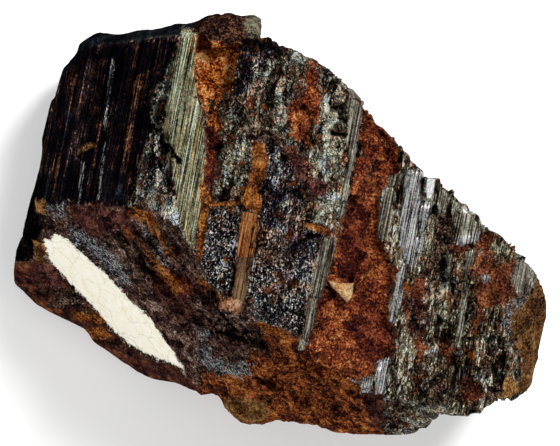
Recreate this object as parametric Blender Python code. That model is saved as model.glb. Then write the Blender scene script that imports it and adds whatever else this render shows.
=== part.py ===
"""Rutile specimen: one broken prismatic crystal with its rust crust, lying on its broad back.

The growth lines run towards +Y and lean to +X. The upper face looks to +Z. The origin is the
bottom centre of the stone. Sizes below are in millimetres until the mesh is made.
"""

import math
import random

import bmesh
import bpy
from mathutils import Matrix, Vector

MM = 0.001
WELD = 0.000001        # metres: corners nearer than this are one
SEED = 22
SKY = 60.0             # above every face, so a cutter reaches clear of the stone
ROOT_DEPTH = 6.0       # how far down into the stone a raised block reaches
SKEW = 0.28            # how far a broken block's corners are pulled, as a share of half its size
GROWTH_LEAN = 11.0     # degrees the growth lines lean from +Y to +X, left part
RIGHT_LEAN = 9.0       # degrees the right end's blocks lean
BAND_LEAN = 14.0       # degrees the rust band leans
VEIN_LEAN = -33.0      # degrees the ledges of the dark break lean, along its veins
RIDGE_LEAN = 105.0     # degrees the ledges of the lower fracture lean, along the lower edge

# Edge of the stone seen from above
OUTLINE = [
    (-35.9, 9.6), (-35.8, 12.9), (-34.4, 18.6), (-33.8, 19.2), (-32.5, 23.4), (-30.4, 25.8),
    (-29.9, 27.3), (-27.5, 28.8), (-26.8, 28.9), (-23.6, 28.5), (-21.2, 29.2), (-18.1, 29.2),
    (-15.5, 30.0), (-12.8, 30.1), (-10.3, 31.3), (-9.1, 31.6), (-8.6, 31.3), (-7.4, 31.8),
    (-5.5, 31.0), (-3.7, 31.3), (-2.6, 30.6), (-2.8, 27.6), (2.9, 25.9), (8.9, 21.8),
    (12.2, 18.6), (12.7, 17.8), (12.5, 17.2), (13.3, 16.9), (14.2, 15.4), (17.3, 12.4),
    (17.9, 10.9), (18.4, 11.5), (18.8, 11.2), (19.9, 9.4), (21.8, 7.6), (21.5, 7.0),
    (24.1, 6.3), (27.5, 3.0), (27.7, 2.2), (28.0, 2.9), (28.7, 1.9), (31.0, -0.6),
    (33.2, -1.8), (34.4, -3.0), (36.8, -5.8), (37.7, -6.5), (39.4, -8.8), (40.3, -12.3),
    (38.5, -22.6), (37.4, -24.9), (34.6, -26.7), (33.5, -26.4), (31.7, -26.6), (30.2, -27.9),
    (26.6, -28.3), (24.2, -28.1), (21.2, -31.0), (20.5, -31.5), (18.2, -31.8), (10.7, -31.2),
    (1.7, -29.8), (-4.3, -30.0), (-5.8, -29.7), (-7.7, -27.9), (-8.8, -26.1), (-9.5, -25.6),
    (-12.1, -25.5), (-14.3, -24.6), (-15.1, -24.0), (-19.0, -23.6), (-21.4, -22.6), (-28.3, -17.8),
    (-29.6, -15.9), (-30.5, -15.1), (-35.0, -13.3), (-36.8, -12.2), (-40.1, -9.0), (-40.3, -7.6),
    (-39.8, -3.9), (-39.1, -2.5),
]

# A flat face is (x, y, z, slope along X, slope along Y): a point on it and how it climbs.
FRONT = (-5.7, 3.6, 42.0, -0.142, 0.011)
RIGHT_FRONT = (18.0, 8.0, 38.2, -0.20, 0.03)
LEFT_GROWTH = (-36.8, 5.9, 17.4, 1.276, -0.248)
LEFT_EDGE = (-35.7, 1.4, 18.4, 3.0, -0.58)
UPPER_BEVEL = (-14.3, 28.1, 40.5, 1.59, -4.2)
TOP_BEVEL = (-11.0, 28.9, 42.0, -0.1, -3.0)
PAINTED_FACE = (-19.2, 2.6, 41.1, 1.45, 1.48)
LOWER_FRACTURE = (3.3, -16.6, 40.5, 0.877, 1.541)
LOWER_RIGHT_BEVEL = (24.0, -27.2, 36.0, 0.1, 2.2)
RIGHT_END = (34.0, -14.0, 34.6, -1.5, 0.35)
UPPER_FACES = [
    FRONT, LEFT_GROWTH, LEFT_EDGE, UPPER_BEVEL, TOP_BEVEL, PAINTED_FACE, LOWER_FRACTURE,
    LOWER_RIGHT_BEVEL, RIGHT_END,
]

# Undercut sides: direction they look (degrees from +X), height of their upper edge, inset at the flat
UNDERCUTS = [
    (169, 8, 2.5), (150, 9, 3.5), (112, 11, 4.5), (93, 21, 6.0), (66, 25, 8.0), (47, 24, 9.0),
    (5, 20, 6.0), (-50, 21, 8.0), (-78, 20, 6.0), (-93, 11, 4.0), (-116, 5, 1.5),
    (158, 6, 4.5), (124, 7, 6.0), (80, 13, 9.0), (52, 12, 12.0), (40, 9, 10.0), (-15, 13, 8.0),
    (-64, 12, 10.0), (-86, 6, 5.0),
]

# Steps on the sides: which undercuts have them, and how far along each; and round the flat back:
# half sizes of the ring they lie on, height of their middle
BROKEN_SIDES = slice(1, 10)
SIDE_STEPS_ALONG = (-9.5, -5.5, -1.0, 3.5, 8.0)
BACK_RIM = (31.0, 20.0)
BACK_STEP_HEIGHT = -0.5

# The foot that runs along below the painted face
FOOT = [
    (-38.8, -2.0), (-36.5, -0.5), (-24.0, 0.0), (-14.0, -12.0), (-11.5, -22.0),
    (-12.4, -25.3), (-14.4, -24.4), (-19.0, -23.5), (-21.4, -22.5), (-28.2, -17.7), (-29.6, -15.8),
    (-35.0, -13.2), (-36.8, -12.1), (-40.0, -9.0), (-40.2, -7.6), (-39.7, -3.9),
]
FOOT_TOP = (-28.8, -16.9, 3.0, 0.46, 0.77)
PAINTED_FRONT = [
    (-38.0, -2.5), (-36.2, -0.9), (-24.3, -0.4), (-14.4, -12.4), (-11.9, -21.6), (-13.2, -24.2),
    (-18.8, -23.2), (-28.0, -17.3), (-34.8, -12.7), (-39.4, -8.2),
]
PAINTED_TOP = (-23.7, -9.9, 16.0, 1.225, 1.42)

# Hollows: outline, the face they are sunk from, depth
PIT = [
    (-11.7, 28.4), (-9.8, 26.3), (-6.8, 26.6), (-5.4, 27.6), (-5.7, 25.8), (-6.3, 24.3),
    (-6.9, 22.2), (-6.9, 20.4), (-8.4, 18.9), (-9.2, 18.0), (-11.3, 19.2), (-12.3, 21.9),
    (-12.3, 24.6),
]
PIT_TAIL = [
    (-10.5, 18.9), (-8.7, 18.4), (-8.1, 15.3), (-8.9, 12.6), (-9.5, 8.9), (-10.8, 8.7),
    (-10.6, 12.6), (-10.5, 15.6),
]
BESIDE_PIT = [(-5.2, 27.2), (-2.4, 27.3), (0.4, 26.0), (0.0, 24.9), (-3.0, 24.6), (-5.3, 25.2)]
SPARKLY_ZONE = [
    (-18.8, 19.8), (-16.1, 19.2), (-16.9, 15.9), (-17.3, 13.5), (-16.1, 9.6), (-15.5, 4.2),
    (-14.6, -0.9), (-15.9, -0.3), (-19.2, 1.5), (-22.2, 3.0), (-21.9, 6.5), (-20.7, 9.6),
    (-19.4, 14.1),
]
RUST_BAND = [
    (12.4, 17.4), (11.8, 12.6), (11.1, 8.1), (9.7, 1.4), (8.8, -2.4), (7.2, -7.6), (6.3, -11.4),
    (5.1, -15.9), (4.5, -18.9), (5.1, -21.1), (7.8, -23.2), (12.0, -23.7), (14.2, -22.8),
    (16.6, -19.2), (17.5, -17.1), (16.5, -12.9), (17.1, -9.9), (17.5, -6.9), (16.0, -3.9),
    (15.0, -0.9), (15.6, 3.6), (16.2, 6.0), (18.1, 8.1), (17.5, 11.4), (15.3, 14.4),
]
LEDGE_SHADOW = [(-2.4, -5.6), (1.8, -2.7), (6.4, -0.3), (6.7, -1.1), (2.1, -3.9), (-1.8, -6.6)]
LEFT_SLOT = [(21.2, 6.4), (22.0, 6.2), (21.8, 2.1), (21.0, -2.7), (20.4, -2.5), (20.9, 2.4)]
RIGHT_SLOT = [(23.4, 5.2), (24.0, 5.0), (23.5, 1.4), (22.8, 1.8)]
END_HOLLOW = [
    (31.8, -16.8), (33.9, -16.5), (34.3, -20.4), (33.7, -24.6), (32.1, -25.2), (31.3, -21.9),
]
RUST_PATCH = [
    (2.8, 24.0), (6.0, 22.6), (6.1, 18.0), (5.1, 12.6), (3.7, 12.9), (3.1, 17.4), (2.4, 21.0),
]
ORANGE_VEIN = [(-3.8, 10.2), (-1.7, 9.9), (-2.1, 6.9), (-3.6, 4.2), (-4.8, 3.6), (-4.1, 6.9)]
HOLLOWS = [
    (PIT, FRONT, 3.2), (PIT_TAIL, FRONT, 1.0), (BESIDE_PIT, FRONT, 1.6),
    (SPARKLY_ZONE, LEFT_GROWTH, 1.2), (RUST_BAND, FRONT, 1.5), (LEDGE_SHADOW, FRONT, 1.5),
    (LEFT_SLOT, RIGHT_FRONT, 2.6), (RIGHT_SLOT, RIGHT_FRONT, 2.4), (RUST_PATCH, FRONT, 0.8),
    (ORANGE_VEIN, FRONT, 0.9), (END_HOLLOW, FRONT, 5.5),
]

# The right end goes down in treads: outline, depth below the front face
TREADS = [
    ([(23.7, 7.5), (30.0, 2.5), (44.0, -6.0), (44.0, -26.0), (25.5, -22.2), (22.5, -15.9),
      (23.5, -3.9)], 0.7),
    ([(28.4, 3.5), (36.0, -2.0), (44.0, -10.0), (42.0, -27.0), (25.3, -25.0), (26.2, -20.4),
      (27.9, -9.9)], 1.1),
    ([(33.9, 0.0), (44.0, -7.0), (44.0, -20.0), (37.0, -30.0), (31.4, -24.5), (33.2, -15.9)], 1.0),
]

# Raised blocks: outline, the face they stand on, height
BRIGHT_STRIP = [
    (-14.4, 27.9), (-12.4, 27.9), (-12.6, 23.1), (-11.9, 18.6), (-10.9, 11.1), (-10.8, 6.6),
    (-11.5, 1.5), (-13.1, -2.6), (-14.2, -0.6), (-15.0, 4.2), (-15.6, 9.9), (-16.5, 14.4),
    (-15.9, 19.8), (-15.2, 24.6),
]
SILVER_BLOCK = [
    (-10.3, 2.0), (-5.8, 2.3), (-6.4, -3.9), (-7.6, -9.7), (-10.5, -9.4), (-11.2, -5.7),
    (-10.6, -1.2),
]
TAN_BAR = [
    (-5.5, 0.4), (-3.3, 0.1), (-4.0, -4.6), (-4.9, -9.7), (-6.6, -9.6), (-6.9, -5.7),
]
TAN_BAR_END = [
    (-4.8, -8.4), (-5.3, -11.2), (-6.3, -12.9), (-7.6, -13.6), (-8.6, -12.9), (-8.8, -11.4),
    (-7.5, -9.7), (-6.8, -8.2),
]
ISLAND = [(15.1, 6.6), (16.9, 6.9), (16.9, 2.1), (16.6, -2.4), (15.3, -2.1), (15.3, 2.7)]
BEIGE_CHIP = [(7.6, -8.7), (9.6, -8.8), (11.5, -9.0), (11.5, -11.1), (10.8, -11.5), (9.7, -10.6)]
NARROW_RIDGE = [
    (28.3, -3.9), (29.4, -4.2), (28.5, -11.4), (27.7, -18.3), (26.7, -18.0), (27.6, -11.4),
]
UPPER_BLOCK = [
    (-1.8, 24.2), (2.4, 24.3), (2.7, 17.1), (3.3, 11.1), (2.1, 5.1), (-1.5, 4.2), (-2.4, 11.1),
    (-2.4, 18.6),
]
UPPER_RIGHT_BLOCK = [
    (6.8, 22.4), (10.4, 19.4), (11.2, 12.0), (9.6, 3.6), (6.8, 2.9), (7.7, 10.2), (6.4, 16.0),
]
CENTRE_BLOCK = [(-9.4, 8.1), (-4.2, 8.7), (-4.9, 3.9), (-6.1, 2.9), (-9.6, 2.6)]
LOWER_BLOCK = [
    (-1.5, -5.4), (6.0, -0.8), (8.0, -2.2), (6.0, -9.9), (4.2, -15.9), (1.2, -14.7),
    (-2.4, -12.9),
]
PALE_FACET = [(35.1, -6.3), (37.0, -7.3), (38.0, -9.3), (37.3, -11.4), (35.4, -11.1), (34.6, -8.7)]
SILVER_STRIP = [
    (18.7, 8.2), (20.6, 7.6), (20.2, 2.1), (19.5, -3.3), (18.3, -5.7), (18.3, -0.9),
]
GLINT_FACET = [(17.9, -6.5), (19.2, -6.8), (19.0, -11.4), (18.6, -14.7), (17.9, -14.1)]
LOWER_GLINT = [(14.2, -23.6), (16.6, -22.2), (16.4, -24.4), (15.9, -25.8), (14.4, -25.8)]
BLOCKS = [
    (BRIGHT_STRIP, FRONT, 0.5), (SILVER_BLOCK, FRONT, 0.6), (TAN_BAR, FRONT, 1.0),
    (TAN_BAR_END, FRONT, 1.3), (ISLAND, FRONT, -0.3), (BEIGE_CHIP, FRONT, 0.1),
    (NARROW_RIDGE, FRONT, -0.6), (UPPER_BLOCK, FRONT, 0.6), (UPPER_RIGHT_BLOCK, FRONT, 0.35),
    (CENTRE_BLOCK, FRONT, 0.4), (LOWER_BLOCK, FRONT, 0.5), (PALE_FACET, FRONT, -3.2),
    (SILVER_STRIP, FRONT, 0.3), (GLINT_FACET, FRONT, 0.4), (LOWER_GLINT, FRONT, 0.2),
]

# The knob on the upper edge is two lumps run together: centre, half sizes
KNOB = [((-7.9, 29.0, 39.6), (4.6, 2.3, 3.2)), ((-4.6, 28.8, 38.8), (2.1, 2.1, 3.7))]
KNOB_TURNS = (6.0, 3.0, 5.0)

# The overhang above the paint
OVERHANG = [
    (-29.7, 2.8), (-24.0, 3.2), (-22.6, 1.0), (-24.7, -1.4), (-27.4, -1.6), (-29.8, 0.2),
]
OVERHANG_TOP = (-26.5, 1.0, 31.0, 1.2, 0.3)
OVERHANG_FLOOR = 16.0

# Rounded lumps fused in: centre on the plan, half sizes, the face they sit on
LUMPS = [
    ((-4.8, -27.9), (3.2, 1.7, 2.2), LOWER_FRACTURE), ((-1.2, -24.0), (2.2, 1.8, 1.8), LOWER_FRACTURE),
    ((3.6, -26.6), (2.6, 1.6, 2.0), LOWER_FRACTURE), ((9.0, -28.0), (3.0, 1.6, 2.0), LOWER_FRACTURE),
    ((7.2, -23.6), (2.2, 1.4, 1.5), LOWER_FRACTURE), ((-8.6, -23.2), (1.9, 1.7, 1.6), PAINTED_FACE),
    ((14.0, -28.4), (2.4, 1.5, 1.9), LOWER_FRACTURE), ((1.0, -20.4), (2.4, 1.3, 1.6), LOWER_FRACTURE),
    ((-9.6, -17.6), (1.8, 2.2, 1.4), PAINTED_FACE), ((-14.4, -9.6), (1.7, 2.4, 1.4), PAINTED_FACE),
    ((-19.6, -2.4), (2.3, 1.4, 1.3), PAINTED_FACE), ((-10.4, -11.0), (1.5, 2.0, 1.2), PAINTED_FACE),
]


def remove_everything():
    """Empties the file of what it opens with."""
    for old in list(bpy.data.objects):
        bpy.data.objects.remove(old)


def new_collection(name):
    collection = bpy.data.collections.new(name)
    bpy.context.scene.collection.children.link(collection)
    return collection


def stone_material():
    """Near-black lustrous stone."""
    material = bpy.data.materials.new("rutile_stone")
    material.use_nodes = True
    shader = material.node_tree.nodes["Principled BSDF"]
    shader.inputs["Base Color"].default_value = (0.055, 0.045, 0.04, 1.0)
    shader.inputs["Metallic"].default_value = 0.35
    shader.inputs["Roughness"].default_value = 0.42
    return material


def height_of(face, x, y):
    """Height of a flat face above the point (x, y) of the plan."""
    x0, y0, z0, slope_x, slope_y = face
    return z0 + slope_x * (x - x0) + slope_y * (y - y0)


def raised(face, rise):
    x0, y0, z0, slope_x, slope_y = face
    return (x0, y0, z0 + rise, slope_x, slope_y)


def level(z):
    return (0.0, 0.0, z, 0.0, 0.0)


def object_from(mesh_editor, name, collection):
    """Turns an edited mesh, in millimetres, into an object in metres."""
    bmesh.ops.scale(mesh_editor, vec=(MM, MM, MM), verts=mesh_editor.verts)
    bmesh.ops.recalc_face_normals(mesh_editor, faces=mesh_editor.faces)
    mesh = bpy.data.meshes.new(name)
    mesh_editor.to_mesh(mesh)
    mesh_editor.free()
    made = bpy.data.objects.new(name, mesh)
    collection.objects.link(made)
    made.display_type = "WIRE" if collection.hide_render else "TEXTURED"
    return made


def prism(name, outline, floor, roof, collection):
    """Extrudes an outline and lays its two ends on flat faces that may slope."""
    editor = bmesh.new()
    corners = [editor.verts.new((x, y, 0.0)) for x, y in outline]
    editor.faces.new(corners)
    grown = bmesh.ops.extrude_face_region(editor, geom=list(editor.faces))
    upper = {item for item in grown["geom"] if isinstance(item, bmesh.types.BMVert)}
    for corner in editor.verts:
        face = roof if corner in upper else floor
        corner.co.z = height_of(face, corner.co.x, corner.co.y)
    return object_from(editor, name, collection)


def cleave(target, point, normal):
    """Splits off all that lies on the side the normal points to and closes the break."""
    editor = bmesh.new()
    editor.from_mesh(target.data)
    everything = list(editor.verts) + list(editor.edges) + list(editor.faces)
    cut = bmesh.ops.bisect_plane(
        editor, geom=everything, dist=1e-7, clear_outer=True,
        plane_co=Vector(point) * MM, plane_no=Vector(normal),
    )
    rim = [item for item in cut["geom_cut"] if isinstance(item, bmesh.types.BMEdge)]
    bmesh.ops.holes_fill(editor, edges=rim, sides=0)
    bmesh.ops.recalc_face_normals(editor, faces=editor.faces)
    editor.to_mesh(target.data)
    editor.free()


def combine(target, tool, operation):
    """Joins the tool to the stone, or cuts it out, and drops the tool."""
    step = target.modifiers.new(operation.lower(), "BOOLEAN")
    step.operation = operation
    step.solver = "EXACT"
    step.object = tool
    bpy.context.view_layer.objects.active = target
    bpy.ops.object.modifier_apply(modifier=step.name)
    bpy.data.objects.remove(tool)


def laid_on(face, lean):
    """Turns a block so that it lies on a flat face with its long side along the lean."""
    along = Vector((math.sin(math.radians(lean)), math.cos(math.radians(lean)), 0.0))
    along.z = face[3] * along.x + face[4] * along.y
    along.normalize()
    up = Vector((-face[3], -face[4], 1.0)).normalized()
    return Matrix((along.cross(up), along, up)).transposed().to_4x4()


def rough_block(name, centre, size, turns, collection, round_steps=0, skew=None, lie=None):
    """A turned block, or a faceted lump when round_steps is given.

    skew is a dice: its throws pull the corners of a block out of square. lie is how the block
    lies before the turns are added.
    """
    editor = bmesh.new()
    if round_steps:
        bmesh.ops.create_icosphere(editor, subdivisions=round_steps, radius=1.0)
    else:
        bmesh.ops.create_cube(editor, size=2.0)
    if skew:
        for corner in editor.verts:
            pull = [skew.uniform(-SKEW, SKEW) for _ in range(3)]
            corner.co += Vector((pull[0], pull[1], pull[2] * 0.4))
        bmesh.ops.triangulate(editor, faces=editor.faces)
    bmesh.ops.scale(editor, vec=size, verts=editor.verts)
    spin = Matrix.Rotation(math.radians(turns[2]), 4, "Z")
    spin = spin @ Matrix.Rotation(math.radians(turns[1]), 4, "Y")
    spin = spin @ Matrix.Rotation(math.radians(turns[0]), 4, "X")
    if lie:
        spin = lie @ spin
    bmesh.ops.transform(editor, matrix=Matrix.Translation(centre) @ spin, verts=editor.verts)
    return object_from(editor, name, collection)


def cleaved_body(collection):
    """The whole stone as flat faces: outline, upper faces, undercut sides, flat back."""
    body = prism("rutile_crystal", OUTLINE, level(0.0), level(SKY), collection)
    for x0, y0, z0, slope_x, slope_y in UPPER_FACES:
        cleave(body, (x0, y0, z0), (-slope_x, -slope_y, 1.0))
    for bearing, seam, inset in UNDERCUTS:
        out_x = math.cos(math.radians(bearing))
        out_y = math.sin(math.radians(bearing))
        reach = max(x * out_x + y * out_y for x, y in OUTLINE)
        point = (reach * out_x, reach * out_y, seam)
        cleave(body, point, (seam * out_x, seam * out_y, -inset))
    return body


def add_foot_and_knob(body, tools):
    foot = prism("foot", FOOT, level(0.0), FOOT_TOP, tools)
    combine(body, foot, "UNION")
    painted = prism("painted front", PAINTED_FRONT, level(0.0), level(SKY), tools)
    x0, y0, z0, slope_x, slope_y = PAINTED_TOP
    cleave(painted, (x0, y0, z0), (-slope_x, -slope_y, 1.0))
    combine(body, painted, "UNION")
    for centre, size in KNOB:
        lump = rough_block("knob", centre, size, KNOB_TURNS, tools, round_steps=2)
        combine(body, lump, "UNION")
    overhang = prism("overhang", OVERHANG, level(OVERHANG_FLOOR), OVERHANG_TOP, tools)
    combine(body, overhang, "UNION")


def cut_hollows(body, tools):
    for outline, depth in TREADS:
        combine(body, prism("tread", outline, raised(FRONT, -depth), level(SKY), tools), "DIFFERENCE")
    for outline, face, depth in HOLLOWS:
        cutter = prism("hollow", outline, raised(face, -depth), level(SKY), tools)
        combine(body, cutter, "DIFFERENCE")


def add_blocks(body, tools):
    for outline, face, height in BLOCKS:
        block = prism("block", outline, raised(face, -ROOT_DEPTH), raised(face, height), tools)
        combine(body, block, "UNION")


def add_lumps(body, tools, dice):
    for (x, y), size, face in LUMPS:
        centre = (x, y, height_of(face, x, y) - 0.3)
        turns = [dice.uniform(-30, 30) for _ in range(3)]
        combine(body, rough_block("lump", centre, size, turns, tools, round_steps=1), "UNION")


def growth_steps(body, tools, dice):
    """Long shallow terraces of the dark left face, one beside the other along the growth lines.

    Each is tipped a little along its length, so it runs out of the face by itself.
    """
    lie = laid_on(LEFT_GROWTH, GROWTH_LEAN)
    lean = math.radians(GROWTH_LEAN)
    across = TERRACES_FROM
    while across < TERRACES_TO:
        width = dice.uniform(*TERRACE_WIDTH)
        along = dice.uniform(-TERRACE_SHIFT, TERRACE_SHIFT)
        x = LEFT_MIDDLE[0] + across * math.cos(lean) + along * math.sin(lean)
        y = LEFT_MIDDLE[1] - across * math.sin(lean) + along * math.cos(lean)
        sink = dice.uniform(*TERRACE_DEPTH)
        centre = (x, y, height_of(LEFT_GROWTH, x, y) + TERRACE_BLOCK[2] - sink)
        size = (width / 2, TERRACE_BLOCK[1], TERRACE_BLOCK[2])
        turns = (dice.choice((-1, 1)) * dice.uniform(*TERRACE_TIP), dice.uniform(-12, 12), 0.0)
        terrace = rough_block("terrace", centre, size, turns, tools, lie=lie)
        combine(body, terrace, "DIFFERENCE")
        across += width + dice.uniform(*TERRACE_GAP)


def inside(outline, x, y):
    """Whether (x, y) lies inside an outline of the plan."""
    hit = False
    for (xa, ya), (xb, yb) in zip(outline, outline[1:] + outline[:1]):
        if (ya > y) != (yb > y) and x < (xb - xa) * (y - ya) / (yb - ya) + xa:
            hit = not hit
    return hit


def top_face_at(x, y):
    return min(UPPER_FACES, key=lambda face: height_of(face, x, y))


# Terraces of the left face: middle of the face on the plan, where they start and end across the
# growth lines, and the range of their width, gap, depth and tip in degrees
LEFT_MIDDLE = (-19.5, 13.0)
TERRACES_FROM = -17.0
TERRACES_TO = 0.8
TERRACE_WIDTH = (0.6, 1.8)
TERRACE_GAP = (0.3, 1.2)
TERRACE_DEPTH = (0.3, 0.75)
TERRACE_TIP = (0.4, 2.2)
TERRACE_SHIFT = 6.0
TERRACE_BLOCK = (1.0, 22.0, 2.0)

# Broken steps scattered over the faces: area on the plan, how many, half widths, half lengths,
# how proud, lean
FRONT_AREA = [
    (-10.5, 26.0), (1.0, 24.5), (9.5, 19.0), (11.5, 8.0), (8.0, -6.0), (5.0, -14.0),
    (-3.5, -10.5), (-12.0, -1.0), (-10.0, 10.0),
]
RIGHT_AREA = [(19.0, 7.0), (33.0, -3.5), (36.5, -16.0), (31.0, -23.0), (18.0, -25.0), (20.0, -8.0)]
LOWER_AREA = [
    (-11.5, -15.0), (2.0, -17.5), (16.0, -25.5), (18.0, -29.0), (1.0, -28.0), (-8.0, -24.0),
]
DARK_AREA = [(-27.0, 1.5), (-19.0, 1.0), (-13.0, -4.5), (-6.5, -12.0), (-10.0, -18.0), (-18.0, -10.0)]
BAND_AREA = [(13.0, 14.0), (17.0, 10.0), (15.5, -6.0), (15.5, -18.0), (7.5, -21.0), (9.5, -4.0)]
SPARKLY_AREA = [(-18.5, 19.0), (-16.5, 18.0), (-15.5, 2.0), (-21.0, 3.5), (-20.0, 10.0)]
STEP_HALF_HEIGHT = 0.9
SCATTER = [
    (FRONT_AREA, 64, (0.35, 1.1), (0.9, 3.6), 0.55, GROWTH_LEAN),
    (RIGHT_AREA, 26, (0.3, 0.9), (1.2, 3.8), 0.6, RIGHT_LEAN),
    (LOWER_AREA, 30, (0.5, 1.3), (1.0, 3.4), 0.8, RIDGE_LEAN),
    (DARK_AREA, 30, (0.4, 1.3), (1.2, 4.0), 0.9, VEIN_LEAN),
    (BAND_AREA, 18, (0.5, 1.2), (0.9, 2.8), 0.9, BAND_LEAN),
    (SPARKLY_AREA, 12, (0.3, 0.7), (0.7, 1.8), 1.0, GROWTH_LEAN),
]


def scatter_steps(body, tools, dice):
    """Small broken steps, some standing proud and some sunk, along the growth lines."""
    for area, count, wide, long, proud, lean in SCATTER:
        left = min(x for x, y in area)
        right = max(x for x, y in area)
        low = min(y for x, y in area)
        high = max(y for x, y in area)
        made = 0
        while made < count:
            x = dice.uniform(left, right)
            y = dice.uniform(low, high)
            if not inside(area, x, y):
                continue
            face = top_face_at(x, y)
            size = (dice.uniform(*wide), dice.uniform(*long), STEP_HALF_HEIGHT)
            proud_by = dice.uniform(0.2, proud)
            stands = dice.random() < 0.5
            lift = proud_by - STEP_HALF_HEIGHT if stands else STEP_HALF_HEIGHT - proud_by
            centre = (x, y, height_of(face, x, y) + lift)
            turns = (dice.uniform(-5, 5), dice.uniform(-9, 9), dice.uniform(-7, 7))
            lie = laid_on(face, lean)
            step = rough_block("step", centre, size, turns, tools, skew=dice, lie=lie)
            combine(body, step, "UNION" if stands else "DIFFERENCE")
            made += 1


def break_sides(body, tools, dice):
    """Steps and shallow scoops on the undercut sides, clear of the flat back."""
    for bearing, seam, inset in UNDERCUTS[BROKEN_SIDES]:
        out_x = math.cos(math.radians(bearing))
        out_y = math.sin(math.radians(bearing))
        reach = max(x * out_x + y * out_y for x, y in OUTLINE)
        for along in SIDE_STEPS_ALONG:
            along += dice.uniform(-1.2, 1.2)
            z = dice.uniform(0.3, 0.95) * seam
            depth = reach - inset * (1.0 - z / seam) + dice.uniform(0.4, 1.2)
            centre = (depth * out_x - along * out_y, depth * out_y + along * out_x, z)
            size = (dice.uniform(1.0, 1.9), dice.uniform(1.4, 2.6), dice.uniform(1.2, 3.4))
            turns = (dice.uniform(-25, 25), dice.uniform(5, 25), bearing + dice.uniform(-15, 15))
            cut = rough_block("side step", centre, size, turns, tools, skew=dice)
            combine(body, cut, "DIFFERENCE")


def break_back(body, tools, dice):
    """Shallow steps round the flat back; its middle stays whole to stand on."""
    for bearing in range(0, 360, 30):
        out = math.radians(bearing + dice.uniform(-10, 10))
        centre = (BACK_RIM[0] * math.cos(out), BACK_RIM[1] * math.sin(out), BACK_STEP_HEIGHT)
        size = (dice.uniform(2.0, 5.0), dice.uniform(1.5, 3.5), dice.uniform(0.9, 1.5))
        turns = (dice.uniform(-4, 4), dice.uniform(-4, 4), bearing + dice.uniform(-30, 30))
        cut = rough_block("back step", centre, size, turns, tools, skew=dice)
        combine(body, cut, "DIFFERENCE")


def drop_crumbs(editor):
    """Keeps the largest connected piece: what a cut leaves loose is not part of the stone."""
    waiting = set(editor.verts)
    largest = set()
    while waiting:
        piece = set()
        edge_of_piece = [next(iter(waiting))]
        while edge_of_piece:
            corner = edge_of_piece.pop()
            if corner in piece:
                continue
            piece.add(corner)
            edge_of_piece.extend(edge.other_vert(corner) for edge in corner.link_edges)
        waiting -= piece
        if len(piece) > len(largest):
            largest = piece
    crumbs = [corner for corner in editor.verts if corner not in largest]
    bmesh.ops.delete(editor, geom=crumbs, context="VERTS")


def finish_mesh(body):
    """Faces to triangles, with the bottom centre of the stone at the origin."""
    editor = bmesh.new()
    editor.from_mesh(body.data)
    drop_crumbs(editor)
    bmesh.ops.remove_doubles(editor, verts=editor.verts, dist=WELD)
    bmesh.ops.dissolve_degenerate(editor, dist=WELD, edges=editor.edges)
    bmesh.ops.triangulate(editor, faces=editor.faces)
    xs = [corner.co.x for corner in editor.verts]
    ys = [corner.co.y for corner in editor.verts]
    zs = [corner.co.z for corner in editor.verts]
    centre = Vector(((min(xs) + max(xs)) / 2, (min(ys) + max(ys)) / 2, min(zs)))
    bmesh.ops.translate(editor, vec=-centre, verts=editor.verts)
    bmesh.ops.recalc_face_normals(editor, faces=editor.faces)
    editor.to_mesh(body.data)
    editor.free()


def main():
    remove_everything()
    stone = new_collection("rutile_specimen")
    tools = new_collection("cutters")
    tools.hide_render = True
    dice = random.Random(SEED)
    body = cleaved_body(stone)
    add_foot_and_knob(body, tools)
    cut_hollows(body, tools)
    add_blocks(body, tools)
    add_lumps(body, tools, dice)
    growth_steps(body, tools, dice)
    scatter_steps(body, tools, dice)
    break_sides(body, tools, dice)
    break_back(body, tools, dice)
    finish_mesh(body)
    body.data.materials.append(stone_material())


main()
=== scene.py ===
# %% [markdown]
# # A rutile specimen
#
# Rutile grows as lined prisms with a near-metallic lustre. This one is a broken piece: a dark lined
# growth face on the left, a blocky silvery break in front, rust that has crept in along the cracks,
# and a patch of cream paint such as collectors write a catalogue number on. The solid model gives
# its size, its large faces and its ledges. This script makes the fine relief and the finish.

import math

import bpy
import numpy as np
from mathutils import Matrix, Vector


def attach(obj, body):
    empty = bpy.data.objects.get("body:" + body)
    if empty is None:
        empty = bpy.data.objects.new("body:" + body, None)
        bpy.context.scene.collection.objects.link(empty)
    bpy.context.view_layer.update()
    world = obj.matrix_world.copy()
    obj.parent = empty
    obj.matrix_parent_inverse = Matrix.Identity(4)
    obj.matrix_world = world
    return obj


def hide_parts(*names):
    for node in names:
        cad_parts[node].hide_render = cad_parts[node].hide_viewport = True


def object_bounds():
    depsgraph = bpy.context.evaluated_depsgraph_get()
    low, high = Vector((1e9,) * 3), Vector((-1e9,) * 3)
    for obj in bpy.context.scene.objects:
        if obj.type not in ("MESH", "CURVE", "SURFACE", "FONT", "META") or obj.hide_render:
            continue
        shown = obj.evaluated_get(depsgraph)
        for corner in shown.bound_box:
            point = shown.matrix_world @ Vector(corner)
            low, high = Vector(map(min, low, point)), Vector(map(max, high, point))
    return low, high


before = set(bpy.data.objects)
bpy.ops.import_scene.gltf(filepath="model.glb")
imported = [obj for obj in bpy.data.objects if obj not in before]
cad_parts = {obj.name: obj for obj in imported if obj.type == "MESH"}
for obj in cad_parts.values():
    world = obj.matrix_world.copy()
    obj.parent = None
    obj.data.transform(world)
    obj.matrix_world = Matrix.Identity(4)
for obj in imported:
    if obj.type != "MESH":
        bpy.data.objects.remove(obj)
cad_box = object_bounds()
MM = 0.001
scene = bpy.context.scene
print("solid model from", cad_box[0], "to", cad_box[1])

# %% [markdown]
# ## An even skin
#
# The solid has large flat triangles with nothing in between to carry fine relief. A voxel remesh
# wraps it in an even skin of small squares. The underside is seen less, so its skin is thinned.

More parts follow.
